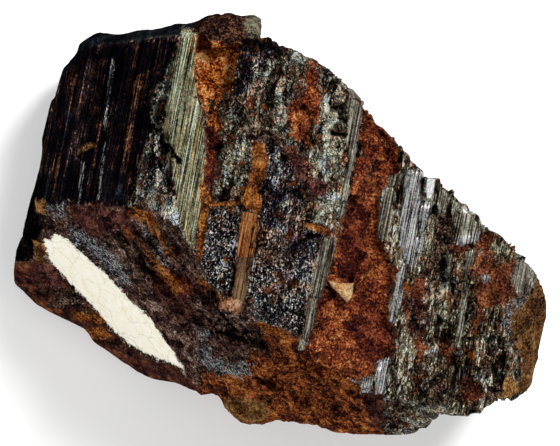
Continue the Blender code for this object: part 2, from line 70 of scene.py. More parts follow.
# %% Wrap the solid in an even skin
SKIN_MM = 0.34
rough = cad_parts["rutile_crystal"]
stone = bpy.data.objects.new("stone", rough.data.copy())
scene.collection.objects.link(stone)


def settle(thing):
    """What the modifiers make becomes the mesh itself."""
    depsgraph = bpy.context.evaluated_depsgraph_get()
    made = bpy.data.meshes.new_from_object(thing.evaluated_get(depsgraph))
    thing.modifiers.clear()
    thing.data = made


def read_points(mesh):
    flat = np.empty(len(mesh.vertices) * 3)
    mesh.vertices.foreach_get("co", flat)
    return flat.reshape(-1, 3) / MM


def read_normals(mesh):
    flat = np.empty(len(mesh.vertices) * 3)
    mesh.vertex_normals.foreach_get("vector", flat)
    return flat.reshape(-1, 3)


wrap = stone.modifiers.new("even skin", "REMESH")
wrap.mode = "VOXEL"
wrap.voxel_size = SKIN_MM * MM
settle(stone)
facing = read_normals(stone.data)[:, 2]
hidden = stone.vertex_groups.new(name="seldom seen")
hidden.add(np.nonzero(facing < 0.12)[0].tolist(), 1.0, "REPLACE")
thin = stone.modifiers.new("thin the underside", "DECIMATE")
thin.ratio = 0.55
thin.vertex_group = hidden.name
settle(stone)
stone.vertex_groups.clear()
print("skin has", len(stone.data.vertices), "points")

# %% [markdown]
# ## Zones of the stone
#
# Each finish has its own place on the stone. An outline on the plan says where, in millimetres from
# the middle of the stone, and every point of the skin keeps its distance to each outline. The same
# distances steer the relief here and the colours later, so the two always agree.

# %% Outline the zones
ZONES = {
    "left_face": [
        [(-29.3, 27.0), (-15.2, 28.2), (-16.0, 24.6), (-17.8, 21.3), (-18.8, 19.1), (-19.4, 14.1),
         (-20.8, 8.8), (-22.7, 3.1), (-23.5, 2.5), (-29.8, 2.7), (-34.3, 2.7), (-35.5, 0.6),
         (-37.3, -5.7), (-41.8, -5.7), (-41.8, 24.6), (-35.8, 32.1)],
    ],
    "dark_field": [
        [(-29.5, 26.1), (-15.4, 27.9), (-16.1, 24.3), (-17.8, 21.3), (-19.0, 18.9), (-19.6, 14.4),
         (-21.1, 9.3), (-22.4, 4.2), (-23.6, 4.2), (-22.7, 11.1), (-21.8, 16.8), (-22.9, 18.9),
         (-24.7, 19.2), (-25.6, 23.7), (-29.2, 24.3)],
    ],
    "slate_streak": [
        [(-31.4, 24.3), (-30.4, 24.6), (-31.3, 15.6), (-32.5, 10.8), (-33.1, 10.8)],
        [(-35.0, 8.4), (-34.3, 8.4), (-34.9, 3.0), (-35.5, 3.0)],
        [(-26.9, 11.1), (-26.2, 11.4), (-27.1, 5.1), (-27.7, 5.1)],
        [(-22.9, 11.1), (-22.1, 11.1), (-23.6, 3.9), (-24.5, 3.9)],
    ],
    "far_left_facet": [
        [(-37.3, 20.1), (-33.2, 21.3), (-34.3, 17.1), (-34.9, 12.6), (-35.2, 5.1), (-35.8, 1.3),
         (-36.8, -2.4), (-37.4, -5.7), (-41.8, -5.7), (-41.8, 20.1)],
    ],
    "top_bevel": [
        [(-35.0, 32.1), (-11.8, 33.6), (-12.1, 29.1), (-14.8, 28.1), (-19.3, 27.8), (-23.8, 27.0),
         (-26.8, 27.0), (-29.2, 26.4), (-30.7, 24.6), (-32.5, 22.5), (-35.0, 21.6)],
    ],
    "dark_break": [
        [(-35.5, 1.8), (-29.8, 2.9), (-19.3, 2.5), (-16.0, -0.3), (-12.5, -3.9), (-11.0, -9.9),
         (-5.8, -12.2), (-2.5, -15.1), (-2.5, -18.1), (-5.8, -20.7), (-9.5, -21.3), (-12.1, -24.0),
         (-14.2, -22.8), (-18.2, -15.9), (-22.9, -10.9), (-27.5, -6.3), (-32.8, -1.8), (-34.3, -1.2),
         (-35.5, -2.1), (-37.3, -2.4), (-37.6, -0.1)],
    ],
    "lower_break": [
        [(-12.1, -24.0), (-9.5, -21.3), (-5.8, -20.7), (-2.5, -18.1), (-2.5, -15.1), (3.2, -16.8),
         (7.7, -19.2), (10.7, -23.4), (14.0, -25.2), (15.7, -25.8), (15.8, -29.4), (16.1, -33.9),
         (3.2, -34.6), (-8.8, -33.1), (-13.3, -27.9)],
    ],
    "foot": [
        [(-42.5, -5.7), (-37.4, -5.7), (-36.1, -5.1), (-35.2, -5.7), (-33.5, -7.2), (-31.9, -9.2),
         (-29.5, -11.4), (-27.2, -14.1), (-25.3, -16.5), (-22.3, -19.1), (-19.6, -20.4), (-17.3, -21.1),
         (-13.9, -23.1), (-12.1, -24.9), (-11.8, -29.4), (-19.3, -29.4), (-32.8, -21.9), (-42.5, -17.4)],
    ],
    "right_part": [
        [(15.2, 15.9), (18.2, 15.6), (42.2, 3.6), (45.2, -8.4), (45.2, -32.4), (16.0, -33.9),
         (15.7, -29.4), (15.5, -25.8), (12.2, -23.4), (17.5, -18.1), (16.4, -12.9), (17.5, -6.9),
         (16.0, -3.9), (14.9, -0.9), (15.7, 3.6), (18.1, 8.1), (17.8, 11.1)],
    ],
    "beige_part": [
        [(17.9, -26.1), (20.3, -25.8), (22.7, -27.0), (25.1, -26.1), (24.8, -27.9), (22.4, -29.7),
         (20.3, -31.2), (19.7, -29.4), (20.6, -27.6)],
        [(22.3, 1.5), (23.3, 0.6), (23.0, -2.4), (22.7, -5.4), (21.8, -4.5), (22.0, -1.2)],
        [(31.1, -1.8), (32.9, -1.3), (34.4, -3.0), (35.5, -4.6), (34.1, -5.7), (32.6, -6.3),
         (31.4, -5.1)],
        [(24.4, -9.9), (25.4, -9.3), (26.3, -11.4), (26.5, -14.1), (25.7, -16.8), (24.2, -15.3),
         (23.8, -12.6)],
        [(33.2, -20.6), (35.3, -19.8), (36.4, -20.7), (36.1, -22.9), (35.3, -22.9), (33.7, -23.2),
         (33.1, -22.2)],
    ],
    "end_face": [
        [(34.3, -12.3), (36.2, -11.5), (37.7, -10.9), (38.3, -9.0), (38.0, -5.7), (42.2, -5.7),
         (45.2, -17.4), (42.2, -29.4), (37.7, -28.2), (36.5, -25.5), (36.1, -24.0), (36.4, -22.2),
         (36.8, -20.1), (35.0, -19.2), (34.6, -16.6), (34.0, -15.1)],
    ],
    "sparkle": [
        [(-17.0, 23.7), (-15.1, 24.6), (-16.0, 19.8), (-16.9, 15.9), (-17.3, 13.5), (-16.9, 11.1),
         (-15.4, 4.2), (-13.6, -2.4), (-16.0, -0.6), (-19.3, 1.6), (-23.2, 2.7), (-22.1, 5.8),
         (-20.8, 8.8), (-19.4, 14.1), (-18.8, 19.1)],
    ],
    "bright_strip": [
        [(-14.3, 29.4), (-11.8, 29.4), (-12.2, 24.3), (-12.4, 21.6), (-11.6, 17.4), (-10.7, 13.3),
         (-10.4, 9.6), (-10.6, 6.6), (-11.2, 1.8), (-11.9, -1.2), (-13.0, -4.2), (-13.9, -2.4),
         (-14.8, 1.2), (-15.4, 5.1), (-15.8, 8.4), (-17.3, 12.3), (-17.3, 14.4), (-16.7, 17.1),
         (-16.3, 20.4), (-15.4, 24.3)],
    ],
    "silver_break": [
        [(-8.5, 14.1), (-7.3, 17.4), (-6.1, 19.2), (-4.6, 18.6), (-3.7, 15.9), (-3.4, 13.5), (-4.0, 10.2),
         (-4.6, 7.2), (-5.6, 3.8), (-9.7, 3.6), (-10.1, 6.6), (-9.4, 9.6), (-8.5, 11.7)],
        [(-2.5, 23.7), (0.2, 25.8), (3.2, 25.5), (4.6, 24.3), (4.0, 21.3), (2.5, 19.5), (2.0, 17.1),
         (2.9, 14.1), (3.4, 12.3), (2.3, 11.7), (-0.1, 12.6), (-2.6, 14.4), (-3.2, 17.4), (-2.5, 20.1),
         (-3.1, 22.2)],
        [(6.2, 23.7), (8.0, 23.1), (10.1, 21.0), (11.9, 18.9), (11.0, 16.8), (10.4, 14.1), (10.0, 11.1),
         (9.5, 6.3), (8.2, 4.8), (6.4, 6.0), (5.0, 7.2), (4.4, 8.8), (4.7, 10.8), (5.9, 12.6),
         (6.1, 14.4), (5.3, 16.8), (5.9, 20.1)],
        [(3.2, 4.8), (5.9, 6.0), (8.9, 5.1), (9.5, 2.1), (8.6, 0.0), (5.9, 0.3), (3.8, 1.2), (2.9, 2.9)],
    ],
    "blue_black": [
        [(-5.8, 27.6), (-2.5, 27.6), (1.6, 26.4), (0.2, 25.2), (-2.5, 23.7), (-4.0, 23.1), (-4.3, 19.8),
         (-6.1, 19.5), (-6.5, 22.8), (-5.8, 25.3)],
        [(-2.5, 12.3), (0.8, 12.3), (2.0, 11.1), (3.2, 7.2), (3.8, 3.6), (2.9, 0.3), (-0.5, -1.2),
         (-2.5, 0.3), (-2.5, 4.2), (-1.6, 8.1)],
        [(3.2, -15.9), (5.0, -15.9), (4.7, -20.4), (7.7, -23.1), (6.5, -24.3), (3.2, -22.2),
         (2.0, -18.9)],
        [(-0.4, 1.5), (2.9, 1.9), (3.2, -1.2), (1.7, -2.4), (-0.2, -3.1), (-0.5, -0.9)],
        [(3.1, -3.3), (5.0, -2.9), (5.3, -5.7), (4.6, -9.3), (3.8, -13.5), (3.1, -13.5), (3.5, -9.9),
         (3.7, -6.9), (3.1, -5.1)],
        [(0.8, -6.3), (2.0, -6.0), (2.2, -10.5), (1.3, -11.4), (0.5, -9.0)],
        # painted shadow under the ledge
        [(-2.5, -6.0), (-0.7, -3.4), (2.9, -1.1), (7.1, -0.4), (8.2, -1.2), (6.5, -2.9), (3.8, -4.0),
         (0.8, -5.8)],
        [(16.7, -24.0), (18.8, -23.4), (20.3, -25.8), (20.6, -29.1), (18.2, -30.3), (16.4, -27.9),
         (15.8, -25.8)],
    ],
    "salt_break": [
        [(-10.4, 1.8), (-5.8, 2.1), (-6.4, -3.9), (-7.4, -9.9), (-10.6, -10.2), (-11.3, -6.0),
         (-10.9, -1.8)],
        [(-4.3, -1.8), (-2.5, -6.0), (2.0, -3.6), (5.9, -2.4), (5.3, -5.7), (4.6, -9.9), (3.8, -14.1),
         (2.9, -15.9), (0.2, -15.9), (-2.5, -14.7), (-4.3, -13.2), (-5.2, -11.4), (-4.3, -5.7)],
    ],
    "rust": [
        [(12.5, 17.8), (11.8, 12.6), (11.0, 8.1), (9.7, 1.3), (8.8, -2.4), (7.1, -7.6), (6.2, -11.4),
         (5.0, -15.9), (4.4, -18.9), (5.0, -21.1), (7.7, -23.2), (11.9, -23.8), (14.2, -22.8),
         (16.6, -19.2), (17.5, -17.1), (16.4, -12.9), (17.0, -9.9), (17.5, -6.9), (16.0, -3.9),
         (14.9, -0.9), (15.5, 3.6), (16.1, 6.0), (18.1, 8.1), (17.9, 11.7), (15.2, 15.9)],
        [(4.6, 24.9), (6.2, 24.3), (5.9, 20.7), (6.1, 16.8), (4.4, 13.2), (5.0, 11.1), (3.2, 12.3),
         (2.0, 13.5), (1.4, 17.7), (2.9, 18.9), (4.1, 22.2)],
    ],
    "rust_patch": [
        [(29.9, -1.8), (30.8, -1.8), (31.1, -3.9), (32.6, -6.3), (35.0, -5.0), (35.6, -6.9), (34.7, -9.3),
         (35.3, -10.8), (34.1, -12.0), (32.0, -11.7), (30.8, -14.1), (29.8, -13.8), (29.3, -11.4),
         (30.2, -9.0), (29.3, -5.7)],
        [(19.4, -10.2), (21.2, -7.8), (22.4, -5.7), (23.3, -6.6), (22.4, -9.6), (21.8, -14.7),
         (20.3, -16.5), (18.8, -15.3), (18.5, -12.6)],
        [(25.4, -3.0), (27.5, -2.7), (29.3, -3.3), (28.7, -4.2), (27.5, -4.8), (26.0, -4.2)],
        [(20.8, -15.9), (22.0, -16.2), (21.8, -19.2), (21.4, -21.9), (20.6, -21.3)],
        [(27.5, -24.0), (30.2, -23.1), (30.8, -25.2), (29.6, -26.4), (27.5, -26.1)],
        [(24.2, -17.4), (25.7, -18.6), (26.6, -20.7), (25.7, -21.3), (24.5, -19.5)],
    ],
    "brown_streak": [
        [(-32.5, 24.6), (-29.8, 24.9), (-29.8, 18.0), (-31.9, 16.8)],
        [(-21.7, 22.2), (-19.6, 22.5), (-19.9, 18.0), (-21.4, 17.7)],
        [(-23.8, 15.0), (-21.4, 15.3), (-22.1, 6.6), (-23.8, 7.2)],
        [(-27.7, 18.6), (-26.0, 18.9), (-26.8, 4.3), (-28.0, 4.3)],
        [(-33.7, 16.8), (-32.2, 17.1), (-33.2, 5.8), (-34.6, 5.8)],
        [(-26.8, 24.6), (-25.6, 24.6), (-27.1, 17.1), (-28.0, 17.1)],
    ],
    "dark_rust": [
        [(-11.2, 15.0), (-8.5, 15.3), (-8.9, 12.6), (-9.7, 8.7), (-10.0, 3.6), (-10.9, 2.7), (-10.9, 8.8),
         (-11.0, 12.6)],
        [(-19.3, -6.0), (-16.0, -6.9), (-11.8, -8.7), (-9.4, -11.4), (-10.9, -12.0), (-13.9, -10.5),
         (-17.5, -9.0)],
        [(11.3, -11.7), (14.0, -10.8), (16.1, -13.2), (16.7, -18.1), (14.9, -21.6), (11.9, -21.6),
         (11.0, -17.4)],
        [(10.3, 2.7), (13.7, 3.4), (13.4, -3.1), (12.2, -6.6), (11.6, -9.6), (8.9, -9.6), (9.2, -3.0)],
        [(11.9, 11.1), (13.4, 12.6), (14.2, 8.1), (13.3, 4.2), (12.1, 5.1)],
    ],
    "knob": [
        [(-13.3, 29.1), (-12.1, 31.2), (-10.0, 34.4), (-1.3, 34.4), (-1.9, 29.1), (-2.5, 27.3),
         (-5.2, 27.6), (-7.6, 26.6), (-11.0, 27.3), (-12.4, 28.5)],
    ],
    "knob_lit_end": [
        [(-4.9, 34.4), (-1.0, 34.4), (-1.9, 28.8), (-3.1, 27.6), (-4.6, 27.9), (-5.0, 29.7)],
    ],
    "pit": [
        [(-12.2, 28.9), (-9.8, 28.1), (-6.8, 28.2), (-5.8, 28.1), (-5.9, 25.8), (-6.5, 23.6),
         (-7.0, 21.0), (-7.1, 19.1), (-8.3, 17.7), (-8.9, 16.2), (-8.2, 14.1), (-8.9, 13.8),
         (-10.6, 14.4), (-10.9, 16.5), (-11.8, 18.0), (-12.2, 21.6), (-12.4, 24.6)],
    ],
    "orange_vein": [
        [(-4.0, 12.6), (-1.9, 12.0), (-1.4, 9.6), (-2.2, 6.9), (-3.1, 4.8), (-2.5, 2.1), (-3.4, 1.5),
         (-5.2, 2.7), (-5.5, 3.6), (-4.6, 6.0), (-4.0, 8.7)],
        [(-11.0, 3.0), (-5.3, 3.6), (-5.3, 3.0), (-10.7, 2.4)],
        [(-11.5, 2.7), (-10.3, 2.4), (-10.9, -1.8), (-11.5, -5.7), (-12.2, -5.7), (-12.1, -2.1)],
        [(3.7, 0.3), (6.5, -0.4), (9.2, -1.6), (9.1, -2.2), (6.2, -1.2), (3.7, -0.3)],
        [(-23.5, -0.6), (-20.8, -2.1), (-17.8, -6.0), (-14.2, -9.9), (-15.4, -10.5), (-18.1, -7.8),
         (-20.5, -4.8), (-22.9, -2.1)],
        [(-22.9, 2.7), (-19.3, 1.8), (-17.5, -0.9), (-14.8, -4.8), (-16.3, -5.2), (-18.4, -2.4),
         (-20.5, 0.3), (-22.6, 1.5)],
        [(-12.1, -7.5), (-10.9, -8.4), (-8.5, -11.1), (-7.4, -12.3), (-8.8, -12.8), (-10.9, -10.7),
         (-12.4, -8.8)],
        [(-11.8, 6.6), (-10.6, 5.7), (-10.0, 3.6), (-10.7, 2.7), (-11.6, 3.0)],
        [(-31.1, -13.3), (-26.8, -13.7), (-25.1, -14.7), (-26.2, -15.3), (-29.2, -14.7), (-30.7, -14.4)],
        [(-29.8, -15.9), (-26.2, -15.9), (-25.0, -17.1), (-27.1, -17.6), (-29.2, -16.9)],
        [(-4.3, -15.0), (-1.6, -14.7), (1.7, -16.5), (1.1, -17.4), (-1.9, -16.2)],
    ],
    "slate": [
        [(32.3, -7.5), (34.1, -7.2), (34.4, -9.3), (33.8, -11.1), (32.3, -11.1), (32.0, -9.3)],
        [(-8.0, -12.9), (-7.0, -12.8), (-2.5, -16.8), (-2.5, -18.3), (-4.3, -17.7), (-6.7, -15.3)],
    ],
    "bloom": [
        [(-31.3, -0.3), (-29.2, -0.6), (-26.2, -3.3), (-24.1, -5.7), (-22.0, -8.7), (-23.2, -9.3),
         (-25.6, -7.5), (-28.3, -4.5), (-30.4, -2.7)],
        [(-11.8, -18.0), (-11.3, -15.8), (-10.4, -16.2), (-10.9, -18.3), (-9.7, -20.1), (-7.6, -21.1),
         (-5.2, -20.6), (-4.0, -21.3), (-4.3, -22.5), (-6.4, -23.1), (-9.7, -22.3), (-11.3, -20.7)],
        [(-21.1, 0.4), (-20.3, 0.4), (-18.4, -2.1), (-16.3, -5.7), (-16.9, -6.3), (-19.3, -3.0)],
        [(-34.6, 2.7), (-31.9, 3.0), (-32.2, 1.2), (-34.3, 0.9)],
        [(33.8, -12.0), (34.9, -11.5), (36.4, -11.4), (36.1, -12.0), (34.7, -12.8), (34.6, -15.6),
         (35.0, -18.3), (34.7, -19.2), (34.3, -17.1), (33.7, -14.7)],
    ],
    "maroon": [
        [(-31.9, 2.7), (-28.3, 3.3), (-25.0, 2.7), (-22.6, 1.5), (-20.8, -0.9), (-22.9, -2.4),
         (-25.0, -0.8), (-27.4, -1.9), (-29.2, -1.3), (-31.0, 0.3)],
        [(-37.6, -5.8), (-34.9, -6.0), (-32.8, -7.2), (-31.9, -9.6), (-34.3, -10.2), (-36.4, -9.6),
         (-37.7, -8.4)],
        [(-19.3, -9.0), (-16.0, -8.7), (-13.3, -10.2), (-12.1, -13.5), (-14.5, -14.4), (-17.2, -12.3),
         (-18.7, -11.1)],
        [(0.8, 11.4), (2.9, 11.2), (4.7, 8.8), (4.3, 6.6), (2.8, 6.8), (1.6, 8.7)],
        [(12.5, -24.9), (15.8, -25.3), (16.0, -31.2), (14.8, -30.9), (14.0, -29.1), (12.8, -27.3)],
        [(3.8, 6.6), (6.2, 7.0), (7.9, 5.4), (7.1, 3.6), (4.9, 4.2)],
        [(-25.3, -17.4), (-22.6, -18.9), (-17.8, -22.2), (-13.3, -23.7), (-12.4, -24.6), (-16.3, -23.1),
         (-22.3, -21.0), (-26.2, -18.3)],
    ],
    "smooth_silver": [
        [(10.6, 19.2), (12.5, 17.8), (11.9, 14.1), (11.2, 8.8), (10.6, 5.1), (9.7, 1.3), (8.8, 1.1),
         (9.7, 5.1), (10.1, 9.6), (10.3, 14.4)],
        [(6.5, -1.8), (8.6, -2.1), (8.0, -5.0), (7.1, -7.2), (6.2, -10.8), (5.3, -14.4), (4.0, -18.9),
         (2.8, -18.9), (4.0, -14.1), (4.9, -9.2), (5.6, -5.4)],
        [(15.5, 5.1), (16.9, 5.7), (17.3, 5.1), (16.9, 1.5), (16.3, -2.2), (14.9, -2.1), (15.1, 1.3)],
        [(28.0, -4.2), (29.2, -3.9), (29.2, -5.4), (28.4, -7.8), (28.0, -11.4), (27.5, -15.9),
         (27.2, -18.8), (26.6, -18.4), (27.1, -12.9), (27.7, -8.4)],
        [(35.2, -6.6), (36.2, -5.4), (37.9, -6.6), (38.5, -8.5), (37.4, -10.3), (36.2, -11.2),
         (35.3, -9.9), (35.0, -8.1)],
        [(23.6, 6.1), (25.4, 4.5), (25.3, 1.8), (24.7, 0.1), (23.8, 1.5)],
        [(25.7, 4.2), (27.5, 2.7), (28.9, 1.2), (30.5, -0.8), (29.9, -1.8), (28.1, -2.4), (26.6, -2.4),
         (26.0, -0.3)],
        [(16.4, 6.9), (18.5, 7.8), (18.5, 6.5), (17.6, 5.7), (16.7, 5.7)],
        [(25.1, -4.5), (26.0, -4.2), (25.7, -6.6), (25.4, -8.4), (25.0, -7.8)],
    ],
    "bright_silver": [
        [(19.0, 7.8), (21.4, 8.1), (22.0, 6.9), (21.4, 3.6), (20.8, 1.2), (20.2, -1.8), (20.6, -4.8),
         (19.7, -7.2), (18.8, -5.1), (17.9, -3.0), (18.1, 0.3), (18.5, 3.6)],
        [(21.4, 3.3), (22.9, 3.8), (22.7, 1.6), (21.8, -0.6), (21.5, -3.9), (20.6, -5.1), (20.3, -2.1),
         (20.8, 0.9)],
        [(18.5, -5.7), (19.1, -6.0), (18.5, -9.9), (17.9, -13.2), (17.3, -14.8), (16.7, -14.4),
         (17.0, -11.4), (17.8, -8.4)],
        [(14.6, -20.6), (16.6, -20.1), (16.3, -23.1), (16.0, -25.3), (14.5, -25.3)],
        [(12.4, -23.2), (13.9, -22.9), (13.9, -25.1), (12.4, -25.1)],
        [(30.4, -7.6), (31.4, -7.6), (31.4, -8.8), (30.5, -8.8)],
        [(26.0, -2.2), (28.1, -1.5), (29.9, -1.2), (29.9, -2.4), (28.4, -3.1), (26.6, -3.3)],
    ],
    "glint": [
        [(22.3, 6.9), (23.5, 7.0), (23.2, 5.4), (22.9, 3.8), (22.3, 3.8), (22.1, 5.1)],
        [(21.2, 7.9), (22.0, 7.8), (22.0, 7.0), (21.4, 7.0)],
        [(27.5, 2.7), (28.3, 2.4), (28.1, 1.6), (27.5, 1.8)],
    ],
    "bar_top": [
        [(-5.5, 1.9), (-3.1, 1.5), (-3.8, -5.0), (-6.2, -5.0)],
    ],
    "bar_low": [
        [(-6.2, -5.0), (-3.8, -5.0), (-5.3, -12.3), (-7.0, -12.0)],
    ],
    "bar_end": [
        [(-8.8, -11.7), (-7.1, -10.9), (-5.3, -11.8), (-5.5, -13.0), (-6.7, -13.9), (-8.0, -13.3),
         (-8.9, -12.6)],
    ],
    "chip": [
        [(7.3, -8.5), (9.2, -8.8), (11.2, -8.8), (11.0, -10.9), (10.4, -11.7), (9.5, -10.9)],
    ],
    "ochre": [
        [(-30.2, 10.7), (-28.6, 12.0), (-27.2, 11.8), (-27.2, 11.7), (-28.4, 11.7), (-30.1, 10.5)],
        [(-8.5, -26.4), (-5.8, -25.9), (-1.9, -26.6), (-1.1, -28.5), (-2.5, -30.0), (-5.8, -30.0),
         (-7.9, -28.5)],
        [(-36.7, 3.6), (-35.2, 3.6), (-35.5, 1.5), (-36.5, 1.8)],
        [(-37.0, -2.5), (-34.6, -2.7), (-35.2, -4.8), (-36.7, -5.5)],
        [(33.7, -23.2), (35.3, -22.9), (35.8, -24.3), (35.9, -25.3), (34.7, -25.9), (33.5, -26.4),
         (32.6, -25.8), (33.4, -24.6)],
    ],
    "shadow": [
        [(-17.6, 12.3), (-16.7, 12.2), (-15.7, 11.2), (-14.3, 9.2), (-14.5, 8.5), (-16.0, 10.0),
         (-17.3, 11.4)],
        [(1.1, -3.1), (2.9, -2.1), (4.7, -1.3), (6.4, -0.9), (6.5, -1.8), (5.3, -2.1), (3.5, -2.9),
         (1.7, -3.8)],
        [(7.9, 13.9), (10.3, 13.5), (10.1, 12.9), (8.0, 13.3)],
        [(21.4, 7.2), (21.8, 7.2), (21.2, 2.7), (20.9, -2.1), (20.6, -2.1), (21.1, 2.9)],
        [(23.6, 5.7), (23.9, 5.5), (23.3, 1.5), (22.9, 1.5)],
        [(-6.5, -5.7), (-6.2, -5.7), (-7.1, -10.8), (-7.6, -10.9)],
        [(-3.7, 0.3), (-3.4, 0.3), (-4.7, -9.2), (-5.0, -9.2)],
        [(18.1, 11.1), (18.7, 10.8), (18.4, 7.6), (17.9, 7.6)],
        [(24.2, -5.1), (25.1, -4.8), (25.3, -7.2), (24.8, -9.0), (24.2, -8.4)],
        [(-9.4, 11.4), (-8.5, 13.2), (-8.2, 11.1), (-9.2, 9.6)],
        [(5.0, 12.3), (6.4, 14.4), (6.5, 13.7), (5.2, 11.7)],
    ],
    # painted shade in hollows and under ledges
    "gloom": [
        [(32.3, -17.4), (34.4, -18.0), (34.0, -20.4), (32.6, -21.3), (33.2, -24.0), (32.9, -25.5),
         (31.7, -25.2), (31.1, -23.4), (31.4, -20.4)],
        [(23.6, 1.5), (26.0, 1.2), (26.6, -0.9), (25.7, -2.4), (24.2, -4.8), (23.0, -9.9), (22.1, -10.2),
         (22.7, -5.7), (23.3, -1.8)],
        [(19.7, -11.4), (21.8, -12.9), (21.2, -15.9), (19.4, -15.3)],
        [(16.4, -26.7), (17.8, -27.0), (18.2, -29.4), (17.6, -31.0), (16.4, -30.0)],
        [(-2.2, -5.7), (-1.9, -4.0), (-0.4, -3.3), (1.4, -2.5), (2.0, -3.4), (0.2, -4.5), (-0.7, -6.0)],
        [(31.1, -17.1), (33.2, -16.5), (34.0, -19.2), (33.2, -20.7), (32.2, -22.2), (32.6, -25.8),
         (31.4, -25.8), (30.8, -22.2), (31.4, -19.2)],
        [(-12.4, -9.3), (-9.7, -9.9), (-8.5, -12.0), (-5.8, -14.4), (-2.5, -17.1), (-1.6, -18.9),
         (-4.0, -18.3), (-6.4, -17.1), (-9.7, -16.1), (-11.8, -14.1), (-13.0, -11.4)],
        [(-23.2, -2.4), (-20.8, -2.1), (-19.6, -4.2), (-18.1, -6.9), (-19.6, -7.8), (-21.7, -5.7)],
        [(-35.2, -9.9), (-31.6, -9.6), (-28.6, -12.9), (-31.3, -13.3), (-34.0, -12.2)],
        [(-11.8, 19.2), (-10.0, 18.4), (-8.5, 18.9), (-7.1, 19.8), (-7.0, 18.0), (-8.2, 16.6),
         (-10.0, 16.9), (-11.2, 17.6)],
        [(-17.0, -0.3), (-15.1, -0.3), (-13.3, -4.2), (-13.6, -5.7), (-15.4, -4.5), (-16.9, -2.4)],
        [(-4.9, 14.1), (-2.5, 14.1), (0.8, 12.3), (0.2, 11.4), (-2.5, 12.3), (-4.3, 12.6)],
        [(22.0, -24.0), (24.2, -22.2), (26.0, -25.8), (24.2, -26.4), (22.4, -25.8)],
    ],
    "glint_line": [
        [(-25.0, 24.9), (-24.5, 24.9), (-25.4, 18.9), (-25.7, 18.9)],
        [(-29.6, 9.3), (-29.2, 9.3), (-29.8, 3.0), (-30.2, 3.0)],
        [(-26.3, 12.3), (-26.0, 12.3), (-26.8, 3.6), (-27.1, 3.6)],
        [(-25.7, 18.6), (-25.4, 18.6), (-25.9, 14.1), (-26.2, 14.1)],
        [(-3.7, -5.1), (-3.4, -5.1), (-4.1, -10.2), (-4.4, -10.2)],
    ],
    "paint": [
        [(-35.6, -2.5), (-35.3, -2.1), (-34.4, -2.4), (-34.1, -1.5), (-33.7, -1.3), (-32.8, -1.8),
         (-31.3, -2.7), (-29.0, -4.8), (-27.5, -6.3), (-25.0, -8.5), (-22.9, -10.9), (-19.3, -14.2),
         (-18.2, -15.9), (-15.8, -19.2), (-14.0, -22.5), (-15.5, -21.6), (-17.3, -20.7), (-19.6, -19.9),
         (-22.3, -18.6), (-25.3, -16.1), (-27.2, -13.7), (-29.5, -11.1), (-31.9, -8.8), (-33.5, -6.9),
         (-34.7, -5.7), (-35.3, -3.6)],
    ],
}


def distance_into(outline, x, y):
    """How far each point is inside an outline: below zero outside."""
    within = np.zeros(len(x), bool)
    nearest = np.full(len(x), 1e9)
    for (xa, ya), (xb, yb) in zip(outline, outline[1:] + outline[:1]):
        ex = xb - xa
        ey = yb - ya
        step = np.clip(((x - xa) * ex + (y - ya) * ey) / (ex * ex + ey * ey), 0.0, 1.0)
        nearest = np.minimum(nearest, (x - xa - step * ex) ** 2 + (y - ya - step * ey) ** 2)
        slope = ex / ey if ey else 0.0
        within ^= ((ya > y) != (yb > y)) & (x < slope * (y - ya) + xa)
    return np.where(within, 1.0, -1.0) * np.sqrt(nearest)


points = read_points(stone.data)
normals = read_normals(stone.data)
into = {}
for name, outlines in ZONES.items():
    distances = [distance_into(outline, points[:, 0], points[:, 1]) for outline in outlines]
    into[name] = np.maximum.reduce(distances)
WALLS_TOO = ("left_face", "far_left_facet", "top_bevel", "dark_break", "lower_break", "foot", "right_part",
             "end_face", "knob", "knob_lit_end")
for name in into:
    if name not in WALLS_TOO:
        into[name] = np.where(normals[:, 2] > -0.1, into[name], -9.0)
print(len(ZONES), "zones outlined")

# %% [markdown]
# ## Fine relief
#
# Rutile breaks in steps along its growth lines, rust crusts over in grains, and growth faces stay
# smooth but for their lines. Each kind of relief is a height in millimetres at every point.

# %% Make the relief
LEAN = math.radians(11.0)


def throw(ix, iy, iz, seed):
    """A repeatable number from 0 to 1 for each corner of a lattice."""
    n = (ix * 73856093) ^ (iy * 19349663) ^ (iz * 83492791) ^ (seed * 2654435761)
    n = (n ^ (n >> 13)) * 1274126177
    n = n ^ (n >> 16)
    return (n & 0xFFFFFF) / float(0xFFFFFF)


def waves(p, seed):
    """Smooth bumps from -1 to 1, one lattice step across."""
    cell = np.floor(p).astype(np.int64)
    t = p - cell
    t = t * t * (3.0 - 2.0 * t)
    total = np.zeros(len(p))
    for corner in range(8):
        dx, dy, dz = corner & 1, corner >> 1 & 1, corner >> 2
        share = np.ones(len(p))
        for axis, d in enumerate((dx, dy, dz)):
            share *= t[:, axis] if d else 1.0 - t[:, axis]
        total += share * throw(cell[:, 0] + dx, cell[:, 1] + dy, cell[:, 2] + dz, seed)
    return total * 2.0 - 1.0


def rough_waves(p, octaves, seed):
    """Bumps with smaller bumps on them."""
    total = np.zeros(len(p))
    for octave in range(octaves):
        total += waves(p * 2.0 ** octave + 17.3 * octave, seed + octave) / 2.0 ** octave
    return total


def blocks(across, along, deep, seed):
    """Flat steps, each a block of the lattice with its own height from -1 to 1."""
    column = np.floor(across).astype(np.int64)
    shift = throw(column, column, column, seed)
    row = np.floor(along + shift * 5.0).astype(np.int64)
    layer = np.floor(deep).astype(np.int64)
    return throw(column, row, layer, seed + 5) * 2.0 - 1.0


def growth_axes(p):
    """Distance across the growth lines and along them."""
    across = p[:, 0] * math.cos(LEAN) - p[:, 1] * math.sin(LEAN)
    along = p[:, 0] * math.sin(LEAN) + p[:, 1] * math.cos(LEAN)
    return across, along


